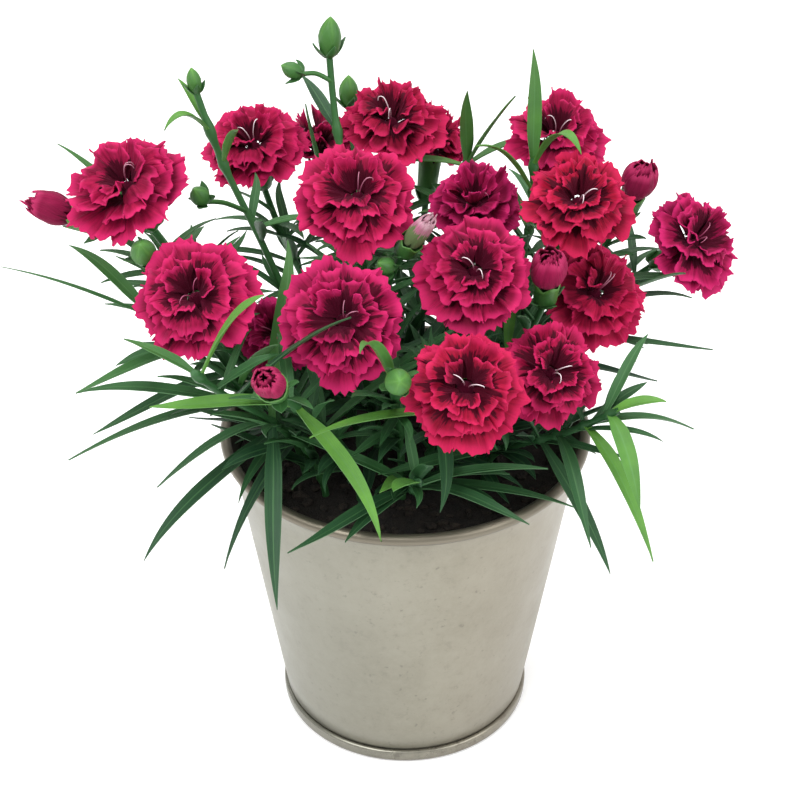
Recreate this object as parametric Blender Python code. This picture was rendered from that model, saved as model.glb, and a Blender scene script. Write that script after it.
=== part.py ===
# Dianthus plant in a round zinc pot: seventeen double blooms, buds and narrow leaves
import bpy
import bmesh
import math
import random
import numpy as np

# Working sizes are millimetres and turn into metres when a mesh is made
MM = 0.001

# Pot: straight tapered wall, rolled rim and a seamed bottom
RIM_RADIUS = 67.5
POT_HEIGHT = 125.0
FOOT_RADIUS = 48.0
WALL_TOP_RADIUS = 64.0
WALL_TOP_Z = 120.5
WALL_FOOT_RADIUS = 47.0
WALL_FOOT_Z = 6.2
SHEET = 0.7
SEAM_HEIGHT = 5.0
FLOOR_THICKNESS = 1.2
POT_SIDES = 36

# Soil and the plain holes the stems stand in
SOIL_Z = 112.0
SOIL_TOP_RADIUS = 61.8
SOIL_FOOT_RADIUS = 45.8
ROOT_Z = 104.0
HOLE_RADIUS = 2.35
HOLE_SIDES = 4
HOLE_FLOOR_Z = 103.6
ROOT_SPACING = 5.4
ROOT_SPREAD = 0.42
ROOT_LIMIT = 50.0

# Stems, calyx and leaves
STEM_RADIUS = 1.3
STEM_SIDES = 5
STEM_STATIONS = 3
CALYX_RADIUS = 4.2
CALYX_FOOT = 20.0
CALYX_TOP = 2.2
SOCKET_RADIUS = 2.8
SOCKET_FLOOR = 5.6
PLUG_RADIUS = 2.4
PLUG_FOOT = 5.2
LEAF_STATIONS = (0.0, 0.3, 0.68)
LEAF_WIDTHS = (0.35, 0.95, 0.9)
LEAF_DEPTHS = (0.7, 1.2, 1.1)
SKIRT_STATIONS = (0.0, 0.3)
SKIRT_FOOT = 0.5
SKIRT_COUNT = 24
SKIRT_SEED = 11
PETAL_THICKNESS = 0.7
FLAT_ANGLE = 0.002

# Most leaves on a bloom stem, a bud stem and a leafy shoot
LEAF_LIMIT = {"bloom": 3, "bud": 2, "leafy": 8}

# Colours of the sub-parts
ZINC = (0.56, 0.54, 0.48)
SEAM_ZINC = (0.44, 0.42, 0.37)
SOIL_COLOUR = (0.035, 0.026, 0.02)
CRIMSON = (0.62, 0.012, 0.11)
GREEN = (0.09, 0.24, 0.06)
BUD_CRIMSON = (0.52, 0.02, 0.14)

# Each bloom: middle of the face, way it faces, radius, petals in the three layers
BLOOMS = (
    ("bloom_01", (-92, -4, 223), (-0.25, -0.35, 0.90), 21.0, (5, 4, 2)),
    ("bloom_02", (-55, 58, 206), (-0.10, -0.35, 0.93), 19.0, (5, 4, 2)),
    ("bloom_03", (-16, -2, 218), (0.00, -0.50, 0.87), 20.5, (5, 4, 2)),
    ("bloom_04", (-5, 63, 213), (0.00, -0.28, 0.96), 19.0, (5, 4, 2)),
    ("bloom_05", (55, 60, 209), (0.10, -0.30, 0.95), 19.0, (5, 4, 2)),
    ("bloom_06", (59, 9, 210), (0.12, -0.45, 0.88), 19.0, (5, 4, 2)),
    ("bloom_07", (104, 38, 178), (0.55, -0.45, 0.70), 20.0, (5, 4, 2)),
    ("bloom_08", (25, 35, 195), (0.00, -0.35, 0.94), 17.5, (5, 4, 2)),
    ("bloom_09", (23, -20, 200), (0.05, -0.62, 0.78), 20.0, (5, 4, 2)),
    ("bloom_10", (66, 6, 176), (0.35, -0.60, 0.72), 19.0, (5, 4, 2)),
    ("bloom_11", (-68, -38, 201), (-0.15, -0.62, 0.77), 20.5, (5, 4, 2)),
    ("bloom_12", (-20, -42, 195), (-0.05, -0.72, 0.69), 20.5, (5, 4, 2)),
    ("bloom_13", (-44, -12, 170), (-0.10, -0.65, 0.75), 13.5, (5, 3, 2)),
    ("bloom_14", (19, -63, 183), (0.05, -0.68, 0.73), 19.5, (5, 4, 2)),
    ("bloom_15", (48, -34, 169), (0.30, -0.62, 0.72), 17.5, (5, 4, 2)),
    ("bloom_16", (-33, 86, 191), (-0.10, 0.25, 0.96), 15.5, (5, 3, 2)),
    ("bloom_17", (10, 86, 191), (0.10, 0.20, 0.97), 15.5, (5, 3, 2)),
)

# Each bud stem: its end, the way the bud points, bud radius and length, and petal radius or none
BUD_STEMS = (
    ("bud_stem_01", (-27, 59, 243), (0.05, -0.05, 1.0), 4.2, 15.0, 0.0),
    ("bud_stem_02", (-21, 82, 212), (0.0, 0.1, 1.0), 3.8, 12.0, 0.0),
    ("bud_stem_03", (-72, 33, 241), (-0.15, 0.1, 1.0), 2.6, 9.0, 0.0),
    ("bud_stem_04", (-86, -20, 206), (-0.05, -0.6, 0.8), 4.4, 12.0, 0.0),
    ("bud_stem_05", (-1, -11, 203), (0.4, -0.4, 0.82), 4.0, 8.0, 4.2),
    ("bud_stem_06", (-3, -68, 189), (0.1, -0.8, 0.6), 4.3, 10.0, 0.0),
    ("bud_stem_07", (-41, -70, 187), (-0.1, -0.7, 0.7), 5.0, 9.0, 6.0),
    ("bud_stem_08", (-104, 7, 203), (-0.88, -0.05, 0.4), 4.6, 12.0, 6.5),
    ("bud_stem_09", (81, 51, 183), (0.2, -0.3, 0.93), 4.6, 12.0, 8.0),
    ("bud_stem_10", (48, -7, 181), (0.0, -0.35, 0.93), 4.6, 12.0, 7.0),
)

# Small side buds: the stem they branch from, where along it, their end and way, radius, length
SIDE_BUDS = (
    ("bud_stem_01", 0.93, (-37, 54, 238), (-0.85, -0.15, 0.5), 3.0, 8.0),
    ("bud_stem_03", 0.66, (-69, 10, 211), (-0.3, -0.5, 0.8), 3.4, 9.0),
    ("bud_stem_05", 0.90, (-5, -16, 200), (-0.5, -0.6, 0.6), 3.2, 8.0),
)

# Shoots with leaves only: the end and the way it points
SHOOTS = (
    ("leafy_shoot_01", (45.5, 38, 212), (0.0, 0.0, 1.0)),
    ("leafy_shoot_02", (23, 61, 204), (0.0, 0.0, 1.0)),
    ("leafy_shoot_03", (-86, -28, 190), (-0.5, -0.1, 0.85)),
    ("leafy_shoot_04", (-67, -62, 188), (-0.3, -0.4, 0.85)),
    ("leafy_shoot_05", (70, -42, 159), (0.6, -0.35, 0.7)),
    ("leafy_shoot_06", (4, -66, 148), (0.1, -0.6, 0.8)),
    ("leafy_shoot_07", (58, 62, 172), (0.5, 0.6, 0.6)),
)

# Leaves placed as they grow on the plant: stem, place along it, tip, arch height, width
KEY_LEAVES = (
    ("leafy_shoot_01", 0.97, (44, 42, 253), 3, 5.6),
    ("leafy_shoot_01", 0.97, (60, 16, 226), 22, 4.6),
    ("leafy_shoot_01", 0.88, (24, 22, 226), 14, 4.4),
    ("leafy_shoot_02", 0.95, (22, 51, 233), 1, 5.0),
    ("leafy_shoot_02", 0.95, (39, 51, 231), 4, 4.2),
    ("bloom_stem_01", 0.70, (-120, 24, 226), 8, 4.6),
    ("bud_stem_03", 0.90, (-79, 40, 243), 1, 3.4),
    ("bud_stem_03", 0.88, (-82, 18, 234), 14, 3.6),
    ("bud_stem_03", 0.80, (-57, 18, 234), 8, 3.6),
    ("bud_stem_01", 0.80, (-38, 73, 229), 1, 5.2),
    ("bloom_stem_16", 0.75, (-49, 76, 232), 1, 4.4),
    ("leafy_shoot_03", 0.95, (-137, -10, 197), 4, 2.2),
    ("leafy_shoot_03", 0.95, (-114, -6, 203), 5, 4.8),
    ("leafy_shoot_03", 0.75, (-98, -30, 170), 6, 4.6),
    ("leafy_shoot_04", 0.97, (-92, -50, 193), 3, 4.6),
    ("leafy_shoot_04", 0.97, (-44, -64, 219), 14, 5.0),
    ("bud_stem_07", 0.72, (-81, -64, 184), 6, 5.8),
    ("bud_stem_07", 0.72, (-8, -86, 139), 12, 5.8),
    ("bloom_stem_14", 0.80, (-33, -80, 178), 6, 5.6),
    ("bloom_stem_14", 0.60, (11, -82, 148), 6, 5.0),
    ("bud_stem_06", 0.78, (-14, -86, 212), 22, 4.6),
    ("leafy_shoot_06", 0.97, (-4, -84, 158), 3, 6.2),
    ("leafy_shoot_06", 0.75, (9, -84, 163), 6, 5.6),
    ("leafy_shoot_06", 0.60, (40, -82, 143), 10, 5.0),
    ("leafy_shoot_05", 0.97, (77, -72, 141), 10, 6.0),
    ("leafy_shoot_05", 0.97, (87, -44, 165), 4, 5.4),
    ("leafy_shoot_05", 0.80, (82, -78, 124), 12, 5.4),
    ("leafy_shoot_05", 0.80, (100, -29, 143), 7, 4.6),
    ("leafy_shoot_05", 0.60, (61, -78, 130), 12, 5.0),
    ("bloom_stem_10", 0.60, (97, -7, 174), 6, 4.6),
    ("bloom_stem_07", 0.60, (93, -6, 186), 6, 4.4),
    ("bloom_stem_11", 0.35, (-117, -35, 134), 14, 5.6),
    ("bloom_stem_11", 0.55, (-106, -42, 150), 9, 5.0),
    ("bloom_stem_13", 0.35, (-68, -64, 111), 16, 5.6),
    ("leafy_shoot_04", 0.50, (-85, -48, 132), 10, 4.8),
    ("bloom_stem_13", 0.50, (-56, -62, 136), 8, 4.8),
    ("bud_stem_10", 0.60, (36, 0, 196), 3, 4.0),
)


def unit(v):
    """Unit vector along v"""
    v = np.array(v, float)
    return v / np.linalg.norm(v)


def frame_of(n):
    """Two directions across n, the first one as level as it can be"""
    n = unit(n)
    ref = np.array((0.0, 0.0, 1.0)) if abs(n[2]) < 0.95 else np.array((0.0, -1.0, 0.0))
    side = unit(np.cross(ref, n))
    return side, np.cross(n, side)


def curve(p0, p1, p2, p3, t):
    """Point on the cubic curve with these four control points"""
    s = 1.0 - t
    return s ** 3 * p0 + 3 * s * s * t * p1 + 3 * s * t * t * p2 + t ** 3 * p3


class Crowd:
    """Everything that already stands in the plant, kept as round-ended rods"""

    def __init__(self):
        self.a = np.zeros((0, 3))
        self.b = np.zeros((0, 3))
        self.r = np.zeros(0)
        self.owner = np.zeros(0, int)
        self.far = np.zeros(0, bool)

    def add(self, points, radius, owner, far):
        """Add one chain of rods"""
        points = np.array(points, float)
        count = len(points) - 1
        self.a = np.vstack((self.a, points[:-1]))
        self.b = np.vstack((self.b, points[1:]))
        self.r = np.append(self.r, np.full(count, radius))
        self.owner = np.append(self.owner, np.full(count, owner))
        self.far = np.append(self.far, np.full(count, far))

    def clear(self, points, radius, mask):
        """True where the points stay clear of the rods picked by mask"""
        low = points.min(axis=0) - 12.0
        high = points.max(axis=0) + 12.0
        near = np.all(np.maximum(self.a, self.b) > low, axis=1)
        near &= np.all(np.minimum(self.a, self.b) < high, axis=1)
        near &= mask
        if not near.any():
            return True
        a, b, r = self.a[near], self.b[near], self.r[near]
        ab = b - a
        length = np.maximum((ab * ab).sum(axis=1), 1e-9)
        ap = points[:, None, :] - a[None, :, :]
        t = np.clip((ap * ab[None, :, :]).sum(axis=2) / length, 0.0, 1.0)
        gap = np.linalg.norm(ap - t[:, :, None] * ab[None, :, :], axis=2)
        return not (gap < radius + r[None, :]).any()


def pot_hit(points):
    """True where a point is in the pot's wall or in the soil"""
    rad = np.hypot(points[:, 0], points[:, 1])
    z = points[:, 2]
    inner = SOIL_TOP_RADIUS - 1.6 + (z - SOIL_Z) * 0.15
    outer = RIM_RADIUS + 1.8
    wall = (z < POT_HEIGHT + 2.0) & (rad > inner) & (rad < outer)
    soil = (z < SOIL_Z + 1.6) & (rad <= inner)
    return bool((wall | soil).any())


def disc_hit(points, radius, skip):
    """True where a point is too close to a bloom other than skip"""
    for name, centre, facing, size, layers in BLOOMS:
        if name == skip:
            continue
        n = unit(facing)
        rel = points - np.array(centre, float)
        up = rel @ n
        out = np.linalg.norm(rel - up[:, None] * n, axis=1)
        high = np.where(out < 0.62 * size, 11.5, np.where(out < 0.92 * size, 7.0, 3.6))
        disc = (up > -3.6 - radius) & (up < high + radius) & (out < size + 1.2 + radius)
        if disc.any():
            return True
    return False


def spread(chain, step):
    """Points about one step apart along a chain of points"""
    out = []
    for a, b in zip(chain[:-1], chain[1:]):
        count = max(1, int(np.linalg.norm(b - a) / step))
        for k in range(count):
            out.append(a + (b - a) * k / count)
    out.append(chain[-1])
    return np.array(out)


def stem_path(root, end, way, pull, lean, sway):
    """Middle line of a stem from the soil to its end"""
    p0 = np.array((root[0], root[1], SOIL_Z + 2.5))
    p3 = np.array(end, float)
    rise = max(12.0, 0.35 * (p3[2] - SOIL_Z))
    p1 = p0 + np.array((lean[0], lean[1], rise))
    p2 = p3 - unit(unit(way) + np.array(sway)) * pull
    steps = [(k + 1) / (STEM_STATIONS + 1) for k in range(STEM_STATIONS)]
    chain = [np.array((root[0], root[1], ROOT_Z)), p0]
    chain += [curve(p0, p1, p2, p3, t) for t in steps]
    chain.append(p3)
    return chain


def place_stem(crowd, roots, owner, end, way, skip, head):
    """Pick the first root and bend that keep a stem clear of what stands already"""
    rng = random.Random(100 + owner)
    goal = np.array((end[0], end[1])) * ROOT_SPREAD
    lift = np.array(end, float)
    everyone = np.ones(len(crowd.r), bool)
    for attempt in range(1500):
        reach = 2.0 + attempt * 0.02
        turn = rng.uniform(0, 2 * math.pi)
        x = goal[0] + reach * math.cos(turn) * rng.random()
        y = goal[1] + reach * math.sin(turn) * rng.random()
        pull = rng.uniform(12.0, 38.0)
        loose = min(1.0, attempt / 300.0)
        lean = (rng.uniform(-9.0, 9.0) * loose, rng.uniform(-9.0, 9.0) * loose)
        sway = [rng.uniform(-0.55, 0.55) * loose for k in range(3)]
        if math.hypot(x, y) > ROOT_LIMIT:
            continue
        if any(math.hypot(x - a, y - b) < ROOT_SPACING for a, b in roots):
            continue
        chain = stem_path((x, y), lift, way, pull, lean, sway)
        points = spread(chain[1:], 3.0)
        low = points[:, 2] > SOIL_Z + 3.0
        if not crowd.clear(points, STEM_RADIUS + 0.9, everyone):
            continue
        if disc_hit(points, STEM_RADIUS, skip):
            continue
        if pot_hit(points[low]):
            continue
        if head is not None and not crowd.clear(head, 0.8, everyone):
            continue
        roots.append((x, y))
        return chain
    raise RuntimeError("no clear way for stem %d" % owner)


def leaf_lines(start, tip, arch, width, stations=LEAF_STATIONS):
    """Middle line, cross directions and the left, middle and right lines of one leaf"""
    out = tip - start
    flat = np.array((out[0], out[1], 0.0))
    flat = flat / max(np.linalg.norm(flat), 1e-6)
    bend = (start + tip) / 2 + np.array((0.0, 0.0, arch)) + flat * 0.12 * arch
    mids, sides, faces = [], [], []
    for t in stations + (1.0,):
        p = (1 - t) ** 2 * start + 2 * t * (1 - t) * bend + t * t * tip
        along = unit(2 * (1 - t) * (bend - start) + 2 * t * (tip - bend))
        side = unit(np.cross(along, np.array((0.0, 0.0, 0.8)) - 0.6 * flat))
        mids.append(p)
        sides.append(side)
        faces.append(np.cross(side, along))
    half = [w * width / 2 for w in LEAF_WIDTHS[:len(stations)]] + [0.0]
    if stations == SKIRT_STATIONS:
        half[0] *= SKIRT_FOOT
    left = [m - s * h for m, s, h in zip(mids, sides, half)]
    right = [m + s * h for m, s, h in zip(mids, sides, half)]
    return mids, sides, faces, left, right


def leaf_clear(crowd, owner, lines):
    """True where a leaf crosses nothing that stands already"""
    mids, sides, faces, left, right = lines
    whole = np.vstack([spread(line[1:], 2.5) for line in (left, mids, right)])
    for line, skip in ((left, 3), (mids, 1), (right, 3)):
        whole = np.vstack((whole, spread(line[:2], 2.0)[skip:]))
    far = np.vstack([spread(line[2:], 2.5) for line in (left, mids, right)])
    others = crowd.owner != owner
    own = (crowd.owner == owner) & crowd.far
    if pot_hit(whole) or disc_hit(whole, 0.5, ""):
        return False
    return crowd.clear(whole, 1.5, others) and crowd.clear(far, 1.2, own)


def add_leaf(crowd, owner, lines):
    """Let a placed leaf stand in the crowd"""
    mids, sides, faces, left, right = lines
    for line in (left, mids, right):
        crowd.add(line[1:], 1.0, owner, True)
        crowd.add([(line[0] + line[1]) / 2, line[1]], 1.0, owner, False)
    crowd.add(mids[:2], 1.2, owner, False)


def on_stem(chain, where):
    """Point and direction at a share of the way up a stem above the soil"""
    line = chain[1:]
    spans = [np.linalg.norm(b - a) for a, b in zip(line[:-1], line[1:])]
    left = where * sum(spans)
    for a, b, span in zip(line[:-1], line[1:], spans):
        if left <= span:
            return a + (b - a) * left / span, unit(b - a)
        left -= span
    return line[-1], unit(line[-1] - line[-2])


def free_leaf(crowd, owner, chain, where, turn, size, rng):
    """One leaf of a pair, bent or shortened until it is clear, or None"""
    start, along = on_stem(chain, where)
    side, front = frame_of(along)
    for attempt in range(26):
        swing = turn + rng.uniform(-0.12, 0.12) * (1 + attempt * 0.25)
        out = side * math.cos(swing) + front * math.sin(swing)
        rise = rng.uniform(-0.1, 0.9)
        length = size * rng.uniform(0.8, 1.1) * (1.0 - 0.018 * attempt)
        way = unit(out + np.array((0.0, 0.0, rise)))
        tip = start + way * length
        lines = leaf_lines(start, tip, length * rng.uniform(0.05, 0.2), min(5.8, 2.6 + length * 0.05))
        if leaf_clear(crowd, owner, lines):
            return lines
    return None


def lay_out():
    """Stems first, then the leaves that are placed by hand, then pairs by rule"""
    crowd = Crowd()
    roots = []
    stems = {}
    owner = 0
    for name, centre, facing, size, layers in BLOOMS:
        owner += 1
        n = unit(facing)
        base = np.array(centre, float) - n * CALYX_FOOT
        calyx = [base, np.array(centre, float) - n * CALYX_TOP]
        chain = place_stem(crowd, roots, owner, base, facing, name, spread(calyx, 4.0))
        crowd.add(chain, STEM_RADIUS, owner, False)
        crowd.add(calyx, CALYX_RADIUS + 0.4, owner, False)
        stems["bloom_stem" + name[5:]] = [owner, chain, []]
    for name, end, way, radius, length, petals in BUD_STEMS:
        owner += 1
        top = np.array(end, float) + unit(way) * (length + petals * 1.5)
        head = spread([np.array(end, float), top], 3.0)
        chain = place_stem(crowd, roots, owner, end, way, "", head)
        crowd.add(chain, STEM_RADIUS, owner, False)
        crowd.add([np.array(end, float), top], max(radius, petals) + 0.6, owner, petals > 0)
        stems[name] = [owner, chain, []]
    for name, end, way in SHOOTS:
        owner += 1
        chain = place_stem(crowd, roots, owner, end, way, "", None)
        crowd.add(chain, STEM_RADIUS, owner, False)
        stems[name] = [owner, chain, []]
    for name, where, end, way, radius, length in SIDE_BUDS:
        start, along = on_stem(stems[name][1], where)
        top = np.array(end, float) + unit(way) * length
        crowd.add([start, np.array(end, float)], STEM_RADIUS, stems[name][0], False)
        crowd.add([np.array(end, float), top], radius + 0.6, stems[name][0], False)
    key_leaves(crowd, stems)
    rule_leaves(crowd, stems)
    skirt_leaves(crowd, stems)
    return roots, stems


def key_leaves(crowd, stems):
    """The leaves placed by hand, each lifted a little where it would touch"""
    for name, where, tip, arch, width in KEY_LEAVES:
        owner, chain, leaves = stems[name]
        rng = random.Random(owner * 31 + int(where * 100))
        for attempt in range(160):
            spread_by = 0.12 * attempt
            shift = np.array([rng.uniform(-spread_by, spread_by) for k in range(3)])
            spot = min(0.985, max(0.05, where + rng.uniform(-0.0012, 0.0012) * attempt))
            start, along = on_stem(chain, spot)
            lines = leaf_lines(start, np.array(tip, float) + shift,
                               arch + rng.uniform(-0.06, 0.1) * attempt, width)
            if leaf_clear(crowd, owner, lines):
                leaves.append(lines)
                add_leaf(crowd, owner, lines)
                break


def rule_leaves(crowd, stems):
    """Opposite pairs up each stem, every pair turned a quarter from the one below"""
    plans = {"bloom": ((0.2, 66.0), (0.45, 54.0), (0.75, 34.0)),
             "bud": ((0.4, 50.0), (0.7, 36.0)),
             "leafy": ((0.25, 72.0), (0.5, 66.0), (0.75, 56.0), (0.95, 40.0))}
    for name, (owner, chain, leaves) in stems.items():
        rng = random.Random(owner * 7 + 3)
        turn = rng.uniform(0, math.pi)
        for where, size in plans[name.split("_")[0]]:
            turn += math.pi / 2
            for flip in (0.0, math.pi):
                if len(leaves) >= LEAF_LIMIT[name.split("_")[0]]:
                    continue
                lines = free_leaf(crowd, owner, chain, where, turn + flip, size, rng)
                if lines is not None:
                    leaves.append(lines)
                    add_leaf(crowd, owner, lines)


def skirt_leaves(crowd, stems):
    """Short leaves low on the stems, which hide the soil and spill over the rim, most in front"""
    rng = random.Random(SKIRT_SEED)
    names = sorted(stems)
    placed = 0
    for attempt in range(9000):
        owner, chain, leaves = stems[rng.choice(names)]
        start, along = on_stem(chain, rng.uniform(0.02, 0.42))
        turn = math.atan2(start[1], start[0]) + rng.uniform(-1.1, 1.1)
        length = rng.uniform(30.0, 54.0)
        way = unit((math.cos(turn), math.sin(turn), rng.uniform(-0.05, 0.8)))
        back = start[1] + way[1] * length > -12.0
        if placed == SKIRT_COUNT or (back and rng.random() > 0.1):
            continue
        width = rng.uniform(4.4, 6.0)
        lines = leaf_lines(start, start + way * length, length * 0.12, width, SKIRT_STATIONS)
        if leaf_clear(crowd, owner, lines):
            leaves.append(lines)
            add_leaf(crowd, owner, lines)
            placed += 1


def material(name, colour, roughness, metallic):
    """A plain Principled material"""
    mat = bpy.data.materials.new(name)
    mat.use_nodes = True
    shader = mat.node_tree.nodes["Principled BSDF"]
    shader.inputs["Base Color"].default_value = (*colour, 1.0)
    shader.inputs["Roughness"].default_value = roughness
    shader.inputs["Metallic"].default_value = metallic
    mat.diffuse_color = (*colour, 1.0)
    return mat


def new_object(name, verts, faces, mat):
    """A mesh object from millimetre points, with its faces turned outward"""
    mesh = bpy.data.meshes.new(name)
    mesh.from_pydata([tuple(float(c) * MM for c in v) for v in verts], [], faces)
    bm = bmesh.new()
    bm.from_mesh(mesh)
    bmesh.ops.triangulate(bm, faces=bm.faces)
    bmesh.ops.recalc_face_normals(bm, faces=bm.faces)
    bm.to_mesh(mesh)
    bm.free()
    obj = bpy.data.objects.new(name, mesh)
    bpy.context.scene.collection.objects.link(obj)
    if mat is not None:
        mesh.materials.append(mat)
    return obj


def lathe(profile, closed, sides):
    """Points and faces of a profile of radius and height turned round the upright axis"""
    verts, rings, faces = [], [], []
    for radius, z in profile:
        if radius == 0.0:
            rings.append([len(verts)] * sides)
            verts.append((0.0, 0.0, z))
            continue
        rings.append([len(verts) + k for k in range(sides)])
        for k in range(sides):
            a = 2 * math.pi * k / sides
            verts.append((radius * math.cos(a), radius * math.sin(a), z))
    pairs = list(zip(rings[:-1], rings[1:]))
    if closed:
        pairs.append((rings[-1], rings[0]))
    for low, high in pairs:
        for k in range(sides):
            j = (k + 1) % sides
            face = [low[k], low[j], high[j], high[k]]
            clean = [v for i, v in enumerate(face) if v != face[i - 1]]
            faces.append(clean)
    return verts, faces


def tube(points, radii, frames, sides):
    """Points and faces of a closed tube whose rings lie across the given frames"""
    verts, faces = [], []
    for p, r, (side, front) in zip(points, radii, frames):
        for k in range(sides):
            a = 2 * math.pi * k / sides
            verts.append(p + side * r * math.cos(a) + front * r * math.sin(a))
    for i in range(len(points) - 1):
        for k in range(sides):
            j = (k + 1) % sides
            faces.append([i * sides + k, i * sides + j, (i + 1) * sides + j, (i + 1) * sides + k])
    last = (len(points) - 1) * sides
    faces.append(list(range(sides)))
    faces.append([last + k for k in range(sides)])
    return verts, faces


def carried_frames(points, top):
    """Ring frames along a stem, carried down from the frame at its top"""
    side, front = top
    frames = [top]
    for i in range(len(points) - 2, -1, -1):
        before = points[max(i - 1, 0)]
        along = unit(points[i + 1] - before)
        side = unit(side - along * (side @ along))
        frames.append((side, np.cross(along, side)))
    return frames[::-1]


def stem_solid(name, chain, way, head, mat):
    """A stem whose top goes on as the calyx or bud given by height and radius pairs"""
    frame = frame_of(way)
    n = unit(way)
    frames = carried_frames(chain, frame)
    points = list(chain)
    radii = [STEM_RADIUS] * len(chain)
    for height, radius in head:
        points.append(chain[-1] + n * height)
        radii.append(radius)
        frames.append(frame)
    verts, faces = tube(points, radii, frames, STEM_SIDES)
    return new_object(name, verts, faces, mat)


def leaf_solid(lines):
    """A leaf blade with a keel below, closed to a point"""
    mids, sides, faces_up, left, right = lines
    verts, faces = [], []
    stations = len(mids) - 1
    for i in range(stations):
        verts += [left[i], right[i], mids[i] - faces_up[i] * LEAF_DEPTHS[i]]
    if stations < len(LEAF_STATIONS):
        verts[2] = mids[0] - faces_up[0] * LEAF_DEPTHS[0] * SKIRT_FOOT
    verts.append(mids[-1])
    tip = len(verts) - 1
    faces.append([0, 1, 2])
    for i in range(stations - 1):
        for k in range(3):
            j = (k + 1) % 3
            faces.append([3 * i + k, 3 * i + j, 3 * i + 3 + j, 3 * i + 3 + k])
    last = 3 * (stations - 1)
    for k in range(3):
        faces.append([last + k, last + (k + 1) % 3, tip])
    return new_object("leaf", verts, faces, None)


def strip(low, high):
    """Triangles between two rows of point numbers"""
    tris = []
    i, j = 0, 0
    a, b = len(low), len(high)
    while i < a - 1 or j < b - 1:
        if i == a - 1 or (j < b - 1 and j * (a - 1) <= i * (b - 1)):
            tris.append([low[i], high[j], high[j + 1]])
            j += 1
        else:
            tris.append([low[i], high[j], low[i + 1]])
            i += 1
    return tris


def bridge(low, low_turn, high, high_turn):
    """Triangles between two closed rings whose first points stand at the given turns"""
    step_a, step_b = 2 * math.pi / len(low), 2 * math.pi / len(high)
    shift = round((low_turn - high_turn) / step_b)
    high = [high[(k + shift) % len(high)] for k in range(len(high))]
    high_turn += shift * step_b
    i, j, tris = 0, 0, []
    while i < len(low) or j < len(high):
        next_a = low_turn + (i + 1) * step_a
        next_b = high_turn + (j + 1) * step_b
        if j == len(high) or (i < len(low) and next_a <= next_b):
            tris.append([low[i % len(low)], low[(i + 1) % len(low)], high[j % len(high)]])
            i += 1
        else:
            tris.append([low[i % len(low)], high[(j + 1) % len(high)], high[j % len(high)]])
            j += 1
    return tris


# Petal layers: foot height, middle reach and height, rim reach and height, half width,
# steepness, points on the rim, radius of the core there
BLOOM_LAYERS = ((-0.7, 0.52, 1.0, 1.00, 0.2, 40.0, 0.15, 5, 2.9),
                (1.7, 0.44, 4.2, 0.80, 4.6, 42.0, 0.40, 4, 2.5),
                (3.7, 0.24, 7.2, 0.50, 9.6, 66.0, 0.90, 4, 2.0))
BUD_LAYERS = ((-0.7, 0.62, 4.0, 0.95, 8.6, 50.0, 1.10, 4, 2.9),
              (1.7, 0.26, 6.4, 0.48, 11.0, 66.0, 1.30, 4, 2.0))


class Flower:
    """One flower as a single closed body: a core whose side faces grow out as petals"""

    def __init__(self, centre, facing, radius):
        self.n = unit(facing)
        self.side, self.front = frame_of(facing)
        self.c = np.array(centre, float)
        self.radius = radius
        self.verts = []
        self.faces = []

    def spot(self, out, angle, up):
        """Add a point at a distance, an angle and a height from the flower's middle"""
        way = self.side * math.cos(angle) + self.front * math.sin(angle)
        self.verts.append(self.c + self.n * up + way * out)
        return len(self.verts) - 1

    def ring(self, radius, up, sides, turn):
        """Add a ring of points"""
        return [self.spot(radius, turn + 2 * math.pi * k / sides, up) for k in range(sides)]

    def petal(self, top, foot, angle, rows, steep):
        """One petal on the core face between the top and the foot pair of points"""
        away = self.side * math.cos(angle) + self.front * math.sin(angle)
        drop = unit(away * steep - self.n) * PETAL_THICKNESS
        upper, lower = [top], [foot]
        for row in rows:
            upper.append([self.spot(out, angle + a, up) for out, a, up in row])
            lower.append([])
            for v in upper[-1]:
                self.verts.append(self.verts[v] + drop)
                lower[-1].append(len(self.verts) - 1)
        for grid in (upper, lower):
            for a, b in zip(grid[:-1], grid[1:]):
                self.faces += strip(a, b)
        above = [row[0] for row in upper[:-1]] + upper[-1] + [row[-1] for row in upper[:-1]][::-1]
        below = [row[0] for row in lower[:-1]] + lower[-1] + [row[-1] for row in lower[:-1]][::-1]
        for k in range(len(above) - 1):
            self.faces.append([above[k], above[k + 1], below[k + 1], below[k]])


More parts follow.
